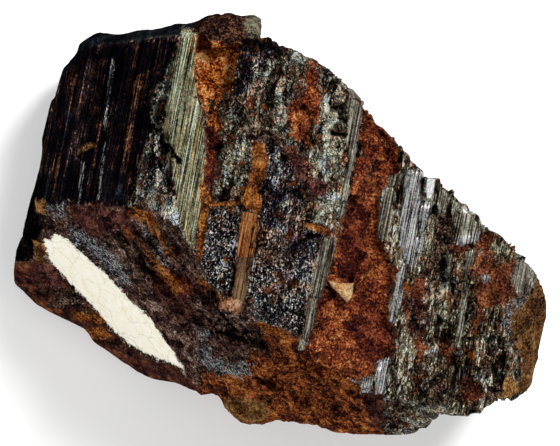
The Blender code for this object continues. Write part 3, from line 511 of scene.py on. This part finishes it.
across, along = growth_axes(points)
deep = points[:, 2]
wander = 0.5 * waves(points * 0.25, 3)
steps = 0.36 * blocks(across / 1.7 + wander, along / 5.0 + wander, deep / 3.0 + wander, 11)
steps += 0.22 * blocks(across / 0.8 + wander, along / 1.9, deep / 1.3, 23)
steps += 0.10 * waves(points * 1.6, 31)
lined = np.column_stack((across, along * 0.03, deep * 0.8))
lines = 0.14 * rough_waves(lined * 0.8, 2, 41) + 0.10 * waves(lined * 2.4, 47)
grains = 0.26 * rough_waves(points * 0.8, 3, 53)
pitted = 0.16 * rough_waves(points * 1.5, 2, 59) + 0.12 * blocks(across, along / 2.0, deep, 67)
lumps = 0.55 * rough_waves(points * 0.35, 4, 61)
calm = 0.05 * waves(points * 0.5, 71)
RELIEF_OF = {
    "left_face": lines, "far_left_facet": lines + 0.2 * grains, "top_bevel": 0.6 * lines + 0.2 * grains,
    "dark_break": 0.8 * steps + 0.5 * lumps, "lower_break": lumps + 0.4 * steps, "foot": 2.0 * calm + 0.3 * grains,
    "right_part": 1.4 * steps, "end_face": grains + 0.3 * lumps, "sparkle": 1.1 * steps + 0.5 * pitted,
    "bright_strip": lines, "silver_break": 1.15 * steps + pitted, "blue_black": 1.2 * steps - 0.35,
    "salt_break": 1.6 * pitted, "rust": 1.6 * grains + 0.35 * steps, "dark_rust": grains - 0.3,
    "knob": 0.5 * lumps, "knob_lit_end": 0.3 * lumps, "rust_patch": grains, "gloom": grains - 0.4, "pit": 1.8 * grains - 0.2, "orange_vein": grains - 0.1,
    "slate": 0.7 * pitted + 0.2 * lumps, "bloom": 0.4 * steps + 0.4 * lumps, "maroon": 0.5 * steps + 0.4 * lumps,
    "beige_part": 0.8 * steps + 0.2, "smooth_silver": 0.9 * lines + 0.3, "bright_silver": lines + 0.4,
    "bar_top": calm + 0.3, "bar_low": calm + 0.3, "bar_end": calm + 0.3, "chip": calm + 0.25, "ochre": grains + 0.25,
    "shadow": 0.5 * grains - 0.6, "glint_line": 0.5 * lines + 0.2, "glint": lines, "brown_streak": lines + 0.3 * grains, "paint": calm + 0.06 * rough_waves(points, 2, 83),
}


def ease(distance, width):
    """Climbs from 0 outside to 1 inside over a width."""
    t = np.clip(distance / width + 0.5, 0.0, 1.0)
    return t * t * (3.0 - 2.0 * t)


height = 0.9 * steps + 0.4 * pitted
for name, relief in RELIEF_OF.items():
    share = ease(into[name], 0.5)
    height = height * (1.0 - share) + relief * share
under = ease(0.35 - points[:, 2], 0.3)
height = np.where(under > 0.0, -np.abs(height) * under + height * (1.0 - under), height)
moved = points + normals * height[:, None]
low = np.array(cad_box[0]) / MM
high = np.array(cad_box[1]) / MM
moved = np.clip(moved, low, high)
stone.data.vertices.foreach_set("co", (moved * MM).ravel())
stone.data.update()
print("relief from", round(float(height.min()), 2), "to", round(float(height.max()), 2), "mm")

# %% [markdown]
# ## Keep the distances on the skin
#
# The finish reads each zone's distance from the mesh, so they are stored as named attributes.

# %% Store the distances
for name, distance in into.items():
    layer = stone.data.attributes.new("in_" + name, "FLOAT", "POINT")
    layer.data.foreach_set("value", np.clip(distance, -9.0, 9.0).astype(np.float32))
SMOOTH = ("left_face", "top_bevel", "foot", "bright_strip", "paint", "bar_top", "bar_low", "bar_end", "chip",
          "smooth_silver", "bright_silver")
smooth_here = np.zeros(len(points), bool)
for name in SMOOTH:
    smooth_here |= into[name] > 0.0
corner_points = np.empty(len(stone.data.loops), np.int32)
stone.data.loops.foreach_get("vertex_index", corner_points)
face_start = np.empty(len(stone.data.polygons), np.int32)
stone.data.polygons.foreach_get("loop_start", face_start)
stone.data.polygons.foreach_set("use_smooth", smooth_here[corner_points[face_start]])
stone.data.update()
triangles = sum(len(face.vertices) - 2 for face in stone.data.polygons)
print("skin has", triangles, "triangles")

# %% [markdown]
# ## The finish
#
# One material covers the stone, built up in layers the way the stone itself was: dark rutile first,
# then silvery broken faces, then rust, then paint. Among them are layers of painted shade and painted
# glints. Each layer has a ragged edge and its own grain.

# %% Helpers for building the finish
finish = bpy.data.materials.new("rutile_finish")
finish.use_nodes = True
tree = finish.node_tree
tree.nodes.clear()


def add(kind, **settings):
    made = tree.nodes.new(kind)
    for name, value in settings.items():
        setattr(made, name, value)
    return made


def feed(socket, value):
    """Links a socket, or sets it to a plain value."""
    if isinstance(value, bpy.types.NodeSocket):
        tree.links.new(value, socket)
    else:
        socket.default_value = value


def calc(operation, a, b=0.0, c=0.0, clamp=False):
    made = add("ShaderNodeMath", operation=operation, use_clamp=clamp)
    for socket, value in zip(made.inputs, (a, b, c)):
        feed(socket, value)
    return made.outputs[0]


def blend(share, a, b, kind="RGBA", how="MIX"):
    made = add("ShaderNodeMix", data_type=kind, blend_type=how)
    place = {"RGBA": (6, 7, 2), "FLOAT": (2, 3, 0)}[kind]
    feed(made.inputs[0], share)
    feed(made.inputs[place[0]], a)
    feed(made.inputs[place[1]], b)
    return made.outputs[place[2]]


STUDIO = 0.6


def colour(red, green, blue, studio=STUDIO):
    """A colour as it looks from 0 to 255 under the studio lights, which brighten what they fall on."""
    light = []
    for value in (red, green, blue):
        v = value / 255.0
        light.append(studio * (v / 12.92 if v <= 0.04045 else ((v + 0.055) / 1.055) ** 2.4))
    return (*light, 1.0)


def stretched(across_scale, along_scale, lean=11.0, deep_scale=1.0):
    """Coordinates in millimetres, turned to the growth lines and stretched along them."""
    place = add("ShaderNodeTexCoord")
    turn = add("ShaderNodeMapping", vector_type="POINT")
    turn.inputs["Rotation"].default_value = (0.0, 0.0, math.radians(lean))
    feed(turn.inputs["Vector"], place.outputs["Object"])
    grow = add("ShaderNodeMapping", vector_type="POINT")
    grow.inputs["Scale"].default_value = (1000 * across_scale, 1000 * along_scale, 1000 * deep_scale)
    feed(grow.inputs["Vector"], turn.outputs["Vector"])
    return grow.outputs["Vector"]


def noise(vector, scale=1.0, detail=3.0, rough=0.5, twist=0.0):
    made = add("ShaderNodeTexNoise")
    feed(made.inputs["Vector"], vector)
    made.inputs["Scale"].default_value = scale
    made.inputs["Detail"].default_value = detail
    made.inputs["Roughness"].default_value = rough
    made.inputs["Distortion"].default_value = twist
    return made.outputs["Fac"]


def pushed(vector, amount, scale):
    """Coordinates pushed about by noise, so blocks lose their straight edges."""
    push = add("ShaderNodeTexNoise")
    feed(push.inputs["Vector"], vector)
    push.inputs["Scale"].default_value = scale
    push.inputs["Detail"].default_value = 4.0
    push.inputs["Roughness"].default_value = 0.65
    moved = add("ShaderNodeVectorMath", operation="MULTIPLY_ADD")
    feed(moved.inputs[0], push.outputs["Color"])
    moved.inputs[1].default_value = (amount, amount, amount)
    feed(moved.inputs[2], vector)
    return moved.outputs[0]


def joints(vector, scale, width):
    """Dark joints between blocks: 1 along a joint, 0 elsewhere."""
    made = add("ShaderNodeTexVoronoi", feature="DISTANCE_TO_EDGE")
    feed(made.inputs["Vector"], vector)
    made.inputs["Scale"].default_value = scale
    return calc("MULTIPLY_ADD", made.outputs["Distance"], -1.0 / width, 1.0, clamp=True)


def cells(vector, scale=1.0):
    """One random grey for each block of a broken face."""
    made = add("ShaderNodeTexVoronoi", distance="CHEBYCHEV")
    feed(made.inputs["Vector"], vector)
    made.inputs["Scale"].default_value = scale
    split = add("ShaderNodeSeparateColor")
    feed(split.inputs[0], made.outputs["Color"])
    return split.outputs[0]


def ramp(value, stops, studio=STUDIO):
    """Colours along a pattern: each stop is a place on it and a colour as it looks in the studio."""
    made = add("ShaderNodeValToRGB")
    elements = made.color_ramp.elements
    while len(elements) < len(stops):
        elements.new(0.5)
    for element, (position, tint) in zip(elements, stops):
        element.position = position
        element.color = colour(*tint, studio=studio)
    feed(made.inputs[0], value)
    return made.outputs[0]


def within(name, ragged=0.4, soft=0.25):
    """Where a zone lies, 0 or 1, with a ragged edge."""
    read = add("ShaderNodeAttribute", attribute_name="in_" + name)
    shaken = calc("MULTIPLY_ADD", calc("SUBTRACT", wobble, 0.5), 6.0 * ragged, read.outputs["Fac"])
    return calc("MULTIPLY_ADD", shaken, 1.0 / soft, 0.5, clamp=True)


def mix_patterns(*parts):
    """Adds patterns by weight and keeps the sum around a half."""
    total = 0.5 - 0.5 * sum(weight for _, weight in parts)
    for pattern, weight in parts:
        total = calc("MULTIPLY_ADD", pattern, weight, total)
    return total


# %% [markdown]
# The grain of each finish comes from a few shared patterns: fine lines along the growth, blocky
# flecks for the broken faces, and round grains for rust.

# %% Shared patterns
even = stretched(1.0, 1.0)
grown = stretched(1.0, 0.02, deep_scale=0.2)
broken = stretched(1.0, 0.32)
splintered = stretched(1.0, 0.14)
crossed = stretched(1.0, 0.3, -32.0)
veined = stretched(1.0, 0.6, -33.0)
ridged = stretched(1.0, 0.6, 105.0)
wobble = noise(even, 0.55, 7.0, 0.78)
fine_lines = noise(grown, 5.6, 2.0, 0.7)
wide_lines = noise(grown, 0.8, 2.0, 0.6)
fibre = noise(broken, 4.2, 2.0, 0.6)
cross_fibre = noise(crossed, 4.2, 2.0, 0.6)
splinters = noise(splintered, 3.6, 2.0, 0.6)
tone = noise(even, 0.3, 5.0, 0.7)
rough_blocks = pushed(broken, 0.9, 0.9)
small_blocks = cells(rough_blocks, 1.1)
big_blocks = cells(rough_blocks, 0.4)
plates = cells(pushed(even, 1.1, 0.7), 0.6)
crushed = cells(even, 5.0)
flecks = mix_patterns((fibre, 0.75), (small_blocks, 0.14), (big_blocks, 0.2), (tone, 0.35), (crushed, 0.2))
cross_flecks = mix_patterns((cross_fibre, 0.62), (small_blocks, 0.17), (big_blocks, 0.24), (plates, 0.12), (tone, 0.35),
                            (crushed, 0.22))
salt_flecks = mix_patterns((fibre, 0.6), (small_blocks, 0.06), (tone, 0.2), (crushed, 0.3))
splinter_flecks = mix_patterns((splinters, 0.85), (small_blocks, 0.14), (big_blocks, 0.18), (tone, 0.35),
                               (crushed, 0.16))
rust_grain = noise(even, 2.8, 4.0, 0.8)
rust_cloud = noise(even, 0.35, 4.0, 0.7)
crust = mix_patterns((rust_grain, 0.85), (rust_cloud, 0.6), (crushed, 0.16), (plates, 0.16))
vein_crust = mix_patterns((noise(veined, 2.2, 4.0, 0.8), 0.8), (rust_cloud, 0.35), (crushed, 0.22), (plates, 0.18))
ridge_crust = mix_patterns((noise(ridged, 2.0, 4.0, 0.8), 0.8), (rust_cloud, 0.5), (crushed, 0.18), (plates, 0.14))
bloom_grain = mix_patterns((noise(veined, 2.2, 4.0, 0.8), 0.5), (rust_cloud, 0.4), (crushed, 0.4))
foot_grain = mix_patterns((noise(veined, 0.8, 5.0, 0.7), 1.0), (rust_cloud, 0.7), (rust_grain, 0.4))
streaks = mix_patterns((fine_lines, 1.1), (wide_lines, 0.3), (tone, 0.3), (rust_grain, 0.3), (crushed, 0.12))
dark_streaks = mix_patterns((fine_lines, 0.72), (wide_lines, 0.55), (rust_grain, 0.55), (rust_cloud, 0.7))

# %% [markdown]
# The layers, from the bottom up. A row names the zone, how ragged its edge is, the pattern that
# picks between its colours, its colours, and how metallic and how rough it is.

# %% Lay the finishes over one another
# The near-white top stops of the ground, the broken faces and the dark break are painted glints on tiny facets.
GROUND = [(0.37, (6, 3, 9)), (0.46, (30, 20, 25)), (0.53, (90, 70, 62)), (0.61, (174, 134, 109)),
          (0.72, (249, 229, 217))]
BROKEN_FACES = [
    ("silver_break", 1.5, cross_flecks,
     [(0.36, (15, 12, 12)), (0.45, (68, 58, 51)), (0.52, (124, 117, 105)), (0.60, (190, 187, 172)),
      (0.71, (254, 254, 250))], 0.5, 0.42),
    ("salt_break", 0.7, salt_flecks,
     [(0.40, (4, 3, 6)), (0.50, (24, 20, 26)), (0.57, (86, 81, 86)), (0.68, (238, 234, 240))], 0.5, 0.4),
    ("blue_black", 1.2, flecks,
     [(0.41, (10, 9, 16)), (0.52, (44, 38, 48)), (0.60, (122, 110, 116)), (0.71, (242, 236, 236))], 0.3, 0.4),
    ("right_part", 0.8, splinter_flecks,
     [(0.37, (12, 9, 10)), (0.46, (46, 36, 31)), (0.53, (98, 84, 71)), (0.61, (156, 146, 127)),
      (0.72, (250, 248, 240))], 0.4, 0.42),
    ("beige_part", 0.9, splinter_flecks,
     [(0.38, (18, 14, 12)), (0.47, (78, 68, 54)), (0.54, (138, 129, 108)), (0.62, (190, 183, 162)),
      (0.73, (252, 250, 240))], 0.4, 0.42),
    ("sparkle", 0.8, flecks,
     [(0.41, (9, 11, 20)), (0.50, (46, 44, 52)), (0.57, (137, 131, 121)), (0.68, (254, 254, 253))], 0.5, 0.38),
]
FACES = [
    ("dark_break", 0.6, vein_crust,
     [(0.34, (11, 8, 11)), (0.46, (48, 32, 32)), (0.56, (104, 72, 62)), (0.66, (170, 134, 116)),
      (0.78, (240, 234, 230))], 0.1, 0.45),
    ("lower_break", 0.9, ridge_crust,
     [(0.33, (15, 11, 14)), (0.43, (60, 32, 27)), (0.53, (132, 68, 38)), (0.63, (210, 120, 58)),
      (0.75, (238, 184, 116))], 0.0, 0.75),
    ("foot", 0.5, foot_grain,
     [(0.34, (22, 14, 15)), (0.45, (58, 34, 32)), (0.54, (92, 51, 40)), (0.63, (130, 78, 52)),
      (0.74, (170, 118, 78))], 0.0, 0.55),
    ("end_face", 0.9, crust,
     [(0.32, (26, 16, 13)), (0.44, (76, 48, 30)), (0.56, (122, 84, 52)), (0.72, (180, 134, 86))], 0.0, 0.75),
    ("left_face", 0.3, dark_streaks,
     [(0.40, (6, 5, 10)), (0.52, (19, 15, 20)), (0.62, (40, 30, 33)), (0.70, (88, 62, 56)),
      (0.79, (160, 142, 150))], 0.0, 0.5),
    ("far_left_facet", 0.5, dark_streaks,
     [(0.44, (3, 3, 5)), (0.57, (10, 8, 10)), (0.68, (32, 24, 21)), (0.78, (84, 66, 46))], 0.0, 0.55),
    ("dark_field", 1.4, dark_streaks,
     [(0.42, (4, 3, 7)), (0.56, (13, 10, 15)), (0.68, (34, 23, 25)), (0.78, (116, 66, 54))], 0.0, 0.5),
    ("slate_streak", 0.6, dark_streaks,
     [(0.42, (8, 10, 16)), (0.56, (28, 34, 44)), (0.70, (78, 88, 100))], 0.0, 0.5),
    ("brown_streak", 1.6, dark_streaks,
     [(0.42, (7, 5, 9)), (0.53, (25, 16, 18)), (0.63, (76, 46, 38)), (0.74, (196, 138, 102))], 0.0, 0.6),
    ("top_bevel", 0.3, dark_streaks,
     [(0.40, (9, 10, 14)), (0.55, (24, 26, 31)), (0.74, (54, 60, 68))], 0.0, 0.5),
    # greenish grey lines; the palest are partly painted sheen of the light on this nearly level face
    ("bright_strip", 0.45, streaks,
     [(0.35, (14, 11, 10)), (0.43, (66, 61, 48)), (0.50, (130, 127, 105)), (0.60, (182, 178, 151)),
      (0.71, (250, 248, 230))], 0.4, 0.42),
    ("slate", 1.6, crust,
     [(0.36, (9, 2, 4)), (0.48, (42, 27, 30)), (0.58, (88, 80, 86)), (0.70, (189, 180, 190))], 0.2, 0.45),
    ("bloom", 1.5, bloom_grain,
     [(0.36, (18, 15, 17)), (0.46, (52, 47, 49)), (0.55, (98, 95, 98)), (0.68, (206, 208, 212))], 0.1, 0.5),
    ("maroon", 1.3, vein_crust,
     [(0.34, (16, 11, 13)), (0.46, (56, 32, 32)), (0.58, (102, 60, 52)), (0.74, (164, 108, 92))], 0.0, 0.6),
]
CRUSTS = [
    # the palest stops are partly painted highlights on the rust grains
    ("rust", 1.2, crust,
     [(0.34, (30, 15, 22)), (0.44, (76, 33, 28)), (0.53, (134, 62, 37)), (0.63, (192, 104, 54)),
      (0.77, (240, 184, 128))], 0.0, 0.85),
    ("dark_rust", 1.4, crust,
     [(0.34, (26, 12, 17)), (0.46, (66, 28, 25)), (0.57, (116, 51, 35)), (0.74, (196, 112, 70))], 0.0, 0.8),
    ("rust_patch", 1.4, crust,
     [(0.34, (22, 12, 15)), (0.45, (68, 33, 27)), (0.56, (122, 64, 41)), (0.72, (190, 120, 78))], 0.0, 0.85),
    # the palest stops are partly painted highlights and glints in the pit
    ("pit", 0.8, crust,
     [(0.33, (34, 16, 18)), (0.43, (118, 48, 25)), (0.52, (206, 100, 36)), (0.61, (248, 168, 84)),
      (0.75, (254, 236, 196))], 0.0, 0.85),
    ("knob", 0.8, crust,
     [(0.36, (8, 7, 11)), (0.48, (28, 18, 19)), (0.58, (70, 40, 32)), (0.72, (150, 108, 86))], 0.0, 0.7),
    # painted light: the knob's end is paler and greyer where the light from the right falls on it
    ("knob_lit_end", 0.5, crust,
     [(0.33, (28, 22, 16)), (0.46, (76, 68, 52)), (0.58, (124, 117, 96)), (0.74, (160, 156, 136))], 0.1, 0.6),
    ("orange_vein", 0.35, crust,
     [(0.33, (38, 20, 18)), (0.44, (94, 48, 27)), (0.55, (162, 92, 40)), (0.72, (228, 158, 88))], 0.0, 0.8),
    ("ochre", 0.6, crust,
     [(0.35, (60, 36, 22)), (0.50, (132, 88, 48)), (0.68, (212, 164, 104))], 0.0, 0.8),
    ("smooth_silver", 0.5, streaks,
     [(0.34, (22, 17, 14)), (0.45, (84, 76, 64)), (0.56, (146, 141, 126)), (0.72, (230, 226, 210))], 0.5, 0.4),
    # silvery plates; their whitest greys are painted glints where facets catch the light
    ("bright_silver", 0.4, streaks,
     [(0.36, (14, 13, 14)), (0.44, (70, 66, 64)), (0.51, (158, 155, 153)), (0.60, (220, 219, 218)),
      (0.71, (254, 254, 254))], 0.6, 0.35),
    ("glint", 0.15, streaks,
     [(0.30, (216, 217, 222)), (0.50, (253, 253, 253))], 0.4, 0.35),
    ("bar_top", 0.15, streaks,
     [(0.32, (71, 25, 6)), (0.48, (131, 81, 44)), (0.66, (177, 125, 81))], 0.0, 0.6),
    ("bar_low", 0.15, streaks,
     [(0.32, (48, 31, 22)), (0.48, (100, 73, 50)), (0.66, (138, 112, 84))], 0.0, 0.55),
    ("bar_end", 0.6, crust,
     [(0.34, (121, 66, 37)), (0.48, (161, 113, 80)), (0.64, (184, 159, 139))], 0.0, 0.6),
    ("chip", 0.08, crust,
     [(0.32, (166, 112, 66)), (0.48, (204, 168, 120)), (0.64, (228, 200, 160))], 0.0, 0.7),
    # painted shade: dark patches in hollows and under ledges, over a slight real dip
    ("gloom", 1.8, crust,
     [(0.40, (11, 8, 10)), (0.51, (36, 26, 25)), (0.62, (98, 70, 60)), (0.75, (190, 170, 154))], 0.0, 0.7),
    ("shadow", 0.5, crust,
     [(0.40, (3, 2, 4)), (0.62, (18, 13, 14))], 0.0, 0.7),
    ("glint_line", 0.3, streaks,
     [(0.45, (14, 12, 14)), (0.54, (92, 86, 92)), (0.61, (254, 254, 254))], 0.4, 0.35),
]
base = ramp(flecks, GROUND)
metal = 0.4
gloss = 0.45


def lay(rows, base, metal, gloss):
    """Lays each row's finish over what is there."""
    for zone, ragged, pattern, stops, metallic, roughness in rows:
        share = within(zone, ragged, 0.15 + 0.25 * ragged)
        base = blend(share, base, ramp(pattern, stops))
        metal = blend(share, metal, metallic, "FLOAT")
        gloss = blend(share, gloss, roughness, "FLOAT")
    return base, metal, gloss


base, metal, gloss = lay(BROKEN_FACES, base, metal, gloss)
STREAK_TINTS = [(0.38, (236, 255, 250)), (0.50, (255, 255, 250)), (0.60, (255, 234, 180)), (0.70, (255, 176, 92))]
TINTS = [(0.38, (255, 206, 166)), (0.46, (255, 246, 232)), (0.53, (246, 255, 232)), (0.62, (222, 234, 255))]
base = blend(0.8, base, ramp(noise(even, 0.45, 5.0, 0.7), TINTS, 1.0), how="MULTIPLY")
crack = joints(rough_blocks, 0.4, 0.05)
base = blend(calc("MULTIPLY", crack, 0.85), base, colour(4, 3, 4))
stain_share = calc("MULTIPLY_ADD", noise(even, 0.42, 6.0, 0.7), 16.0, -8.9, clamp=True)
stain_share = calc("MULTIPLY", stain_share, 0.8)
stain = ramp(crust, [(0.36, (34, 14, 8)), (0.48, (86, 38, 16)), (0.62, (150, 82, 34))])
base = blend(stain_share, base, stain)
metal = blend(stain_share, metal, 0.0, "FLOAT")
gloss = blend(stain_share, gloss, 0.8, "FLOAT")
base, metal, gloss = lay(FACES, base, metal, gloss)
tinted = blend(1.0, base, ramp(noise(grown, 3.0, 2.0, 0.7), STREAK_TINTS, 1.0), how="MULTIPLY")
base = blend(within("bright_strip", 0.45, 0.3), base, tinted)
base, metal, gloss = lay(CRUSTS, base, metal, gloss)
DRIFTS = (
    (1.1, [(0.36, (255, 212, 222)), (0.50, (238, 238, 238)), (0.64, (212, 255, 228))]),
    (1.4, [(0.36, (212, 220, 255)), (0.50, (240, 240, 240)), (0.64, (255, 248, 196))]),
)
for size, tints in DRIFTS:
    base = blend(0.35, base, ramp(noise(even, size, 5.0, 0.75), tints, 1.0), how="MULTIPLY")

# %% [markdown]
# The paint is a thin cream coat. It has worn through in flecks along its edges, and a few
# hairline cracks run through it. It is colour only, so the stone isn't raised under it.

# %% Paint the cream patch
paint_in = add("ShaderNodeAttribute", attribute_name="in_paint").outputs["Fac"]
wear = noise(even, 1.6, 6.0, 0.75)
worn_edge = calc("MULTIPLY_ADD", calc("SUBTRACT", wear, 0.54), 1.9, paint_in)
paint_share = calc("MULTIPLY_ADD", worn_edge, 6.0, 0.5, clamp=True)
PAINT = [(0.30, (228, 216, 190)), (0.43, (245, 239, 220)), (0.70, (253, 251, 240))]
paint = ramp(noise(even, 0.9, 6.0, 0.7), PAINT, 0.66)
hairline = joints(pushed(even, 2.0, 0.5), 0.22, 0.012)
paint = blend(calc("MULTIPLY", hairline, 0.5), paint, colour(120, 104, 82))
base = blend(paint_share, base, paint)
metal = blend(paint_share, metal, 0.0, "FLOAT")
gloss = blend(paint_share, gloss, 0.55, "FLOAT")

# %% [markdown]
# Grain finer than the skin can carry is left to a bump, strongest on the broken faces.

# %% Fine grain and the shader itself
grain = mix_patterns((fibre, 0.9), (small_blocks, 0.3), (cross_fibre, 0.5), (crushed, 0.25), (crack, -0.5))
for zone in ("dark_break", "lower_break", "foot", "end_face", "rust", "pit"):
    grain = blend(within(zone, 0.6, 0.3), grain, mix_patterns((rust_grain, 1.2)), "FLOAT")
for zone in ("left_face", "far_left_facet", "top_bevel", "bright_strip", "smooth_silver", "bright_silver"):
    grain = blend(within(zone, 0.3, 0.3), grain, mix_patterns((fine_lines, 0.8)), "FLOAT")
for zone in ("bar_top", "bar_low", "bar_end", "chip"):
    grain = blend(within(zone, 0.15, 0.3), grain, mix_patterns((fine_lines, 0.15)), "FLOAT")
grain = blend(paint_share, grain, mix_patterns((wear, 0.2)), "FLOAT")
bump = add("ShaderNodeBump")
bump.inputs["Strength"].default_value = 1.0
bump.inputs["Distance"].default_value = 0.4 * MM
feed(bump.inputs["Height"], grain)
shader = add("ShaderNodeBsdfPrincipled")
feed(shader.inputs["Base Color"], base)
feed(shader.inputs["Metallic"], metal)
feed(shader.inputs["Roughness"], gloss)
feed(shader.inputs["Normal"], bump.outputs["Normal"])
shader.inputs["Specular IOR Level"].default_value = 0.0
output = add("ShaderNodeOutputMaterial")
feed(output.inputs["Surface"], shader.outputs[0])
stone.data.materials.clear()
stone.data.materials.append(finish)
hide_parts("rutile_crystal")
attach(stone, "root")
print("finish has", len(tree.nodes), "nodes")

# %% [markdown]
# ## Table and studio light
#
# The stone lies on its back on a pale table. One large soft light stands to the upper right, a
# weaker one to the left, and the room gives an even fill.

# %% Table
table_mesh = bpy.data.meshes.new("table")
half = 1.5
table_mesh.from_pydata([(-half, -half, 0), (half, -half, 0), (half, half, 0), (-half, half, 0)], [], [(0, 1, 2, 3)])
table = bpy.data.objects.new("table", table_mesh)
scene.collection.objects.link(table)
table_finish = bpy.data.materials.new("pale_table")
table_finish.use_nodes = True
table_shader = table_finish.node_tree.nodes["Principled BSDF"]
table_shader.inputs["Base Color"].default_value = (0.9, 0.9, 0.9, 1.0)
table_shader.inputs["Roughness"].default_value = 0.9
table_shader.inputs["Specular IOR Level"].default_value = 0.1
table_mesh.materials.append(table_finish)

# %% Lights


def soft_light(name, place, size, power, aim=(0.0, 0.0, 0.03)):
    lamp = bpy.data.lights.new(name, "AREA")
    lamp.shape = "RECTANGLE"
    lamp.size, lamp.size_y = size
    lamp.energy = power
    made = bpy.data.objects.new(name, lamp)
    scene.collection.objects.link(made)
    made.location = place
    direction = made.location - type(made.location)(aim)
    made.rotation_euler = direction.to_track_quat("Z", "Y").to_euler()
    return made


soft_light("key", (0.4, 0.42, 0.62), (0.28, 0.28), 12.0)
soft_light("lower left fill", (-0.5, -0.5, 0.45), (0.4, 0.4), 6.0)
room = bpy.data.worlds.new("room")
room.use_nodes = True
room.node_tree.nodes["Background"].inputs["Color"].default_value = (1.0, 1.0, 1.0, 1.0)
room.node_tree.nodes["Background"].inputs["Strength"].default_value = 0.35
scene.world = room
scene.view_settings.view_transform = "Standard"

# %% [markdown]
# ## Camera
#
# The picture was taken from straight above with a long lens, so the outline keeps its shape. The
# frame is 84 mm wide at the height of the stone's upper edge.

# %% Camera
LENS_MM = 900.0
FRAME_MM = 84.0
FOCUS_HEIGHT_MM = 30.0
camera_data = bpy.data.cameras.new("camera")
camera_data.lens = LENS_MM
camera_data.sensor_width = 36.0
camera = bpy.data.objects.new("camera", camera_data)
scene.collection.objects.link(camera)
camera_height = FOCUS_HEIGHT_MM + FRAME_MM * LENS_MM / camera_data.sensor_width
camera.location = (0.225 * MM, 0.15 * MM, camera_height * MM)
scene.camera = camera
print("camera", round(camera_height), "mm up")
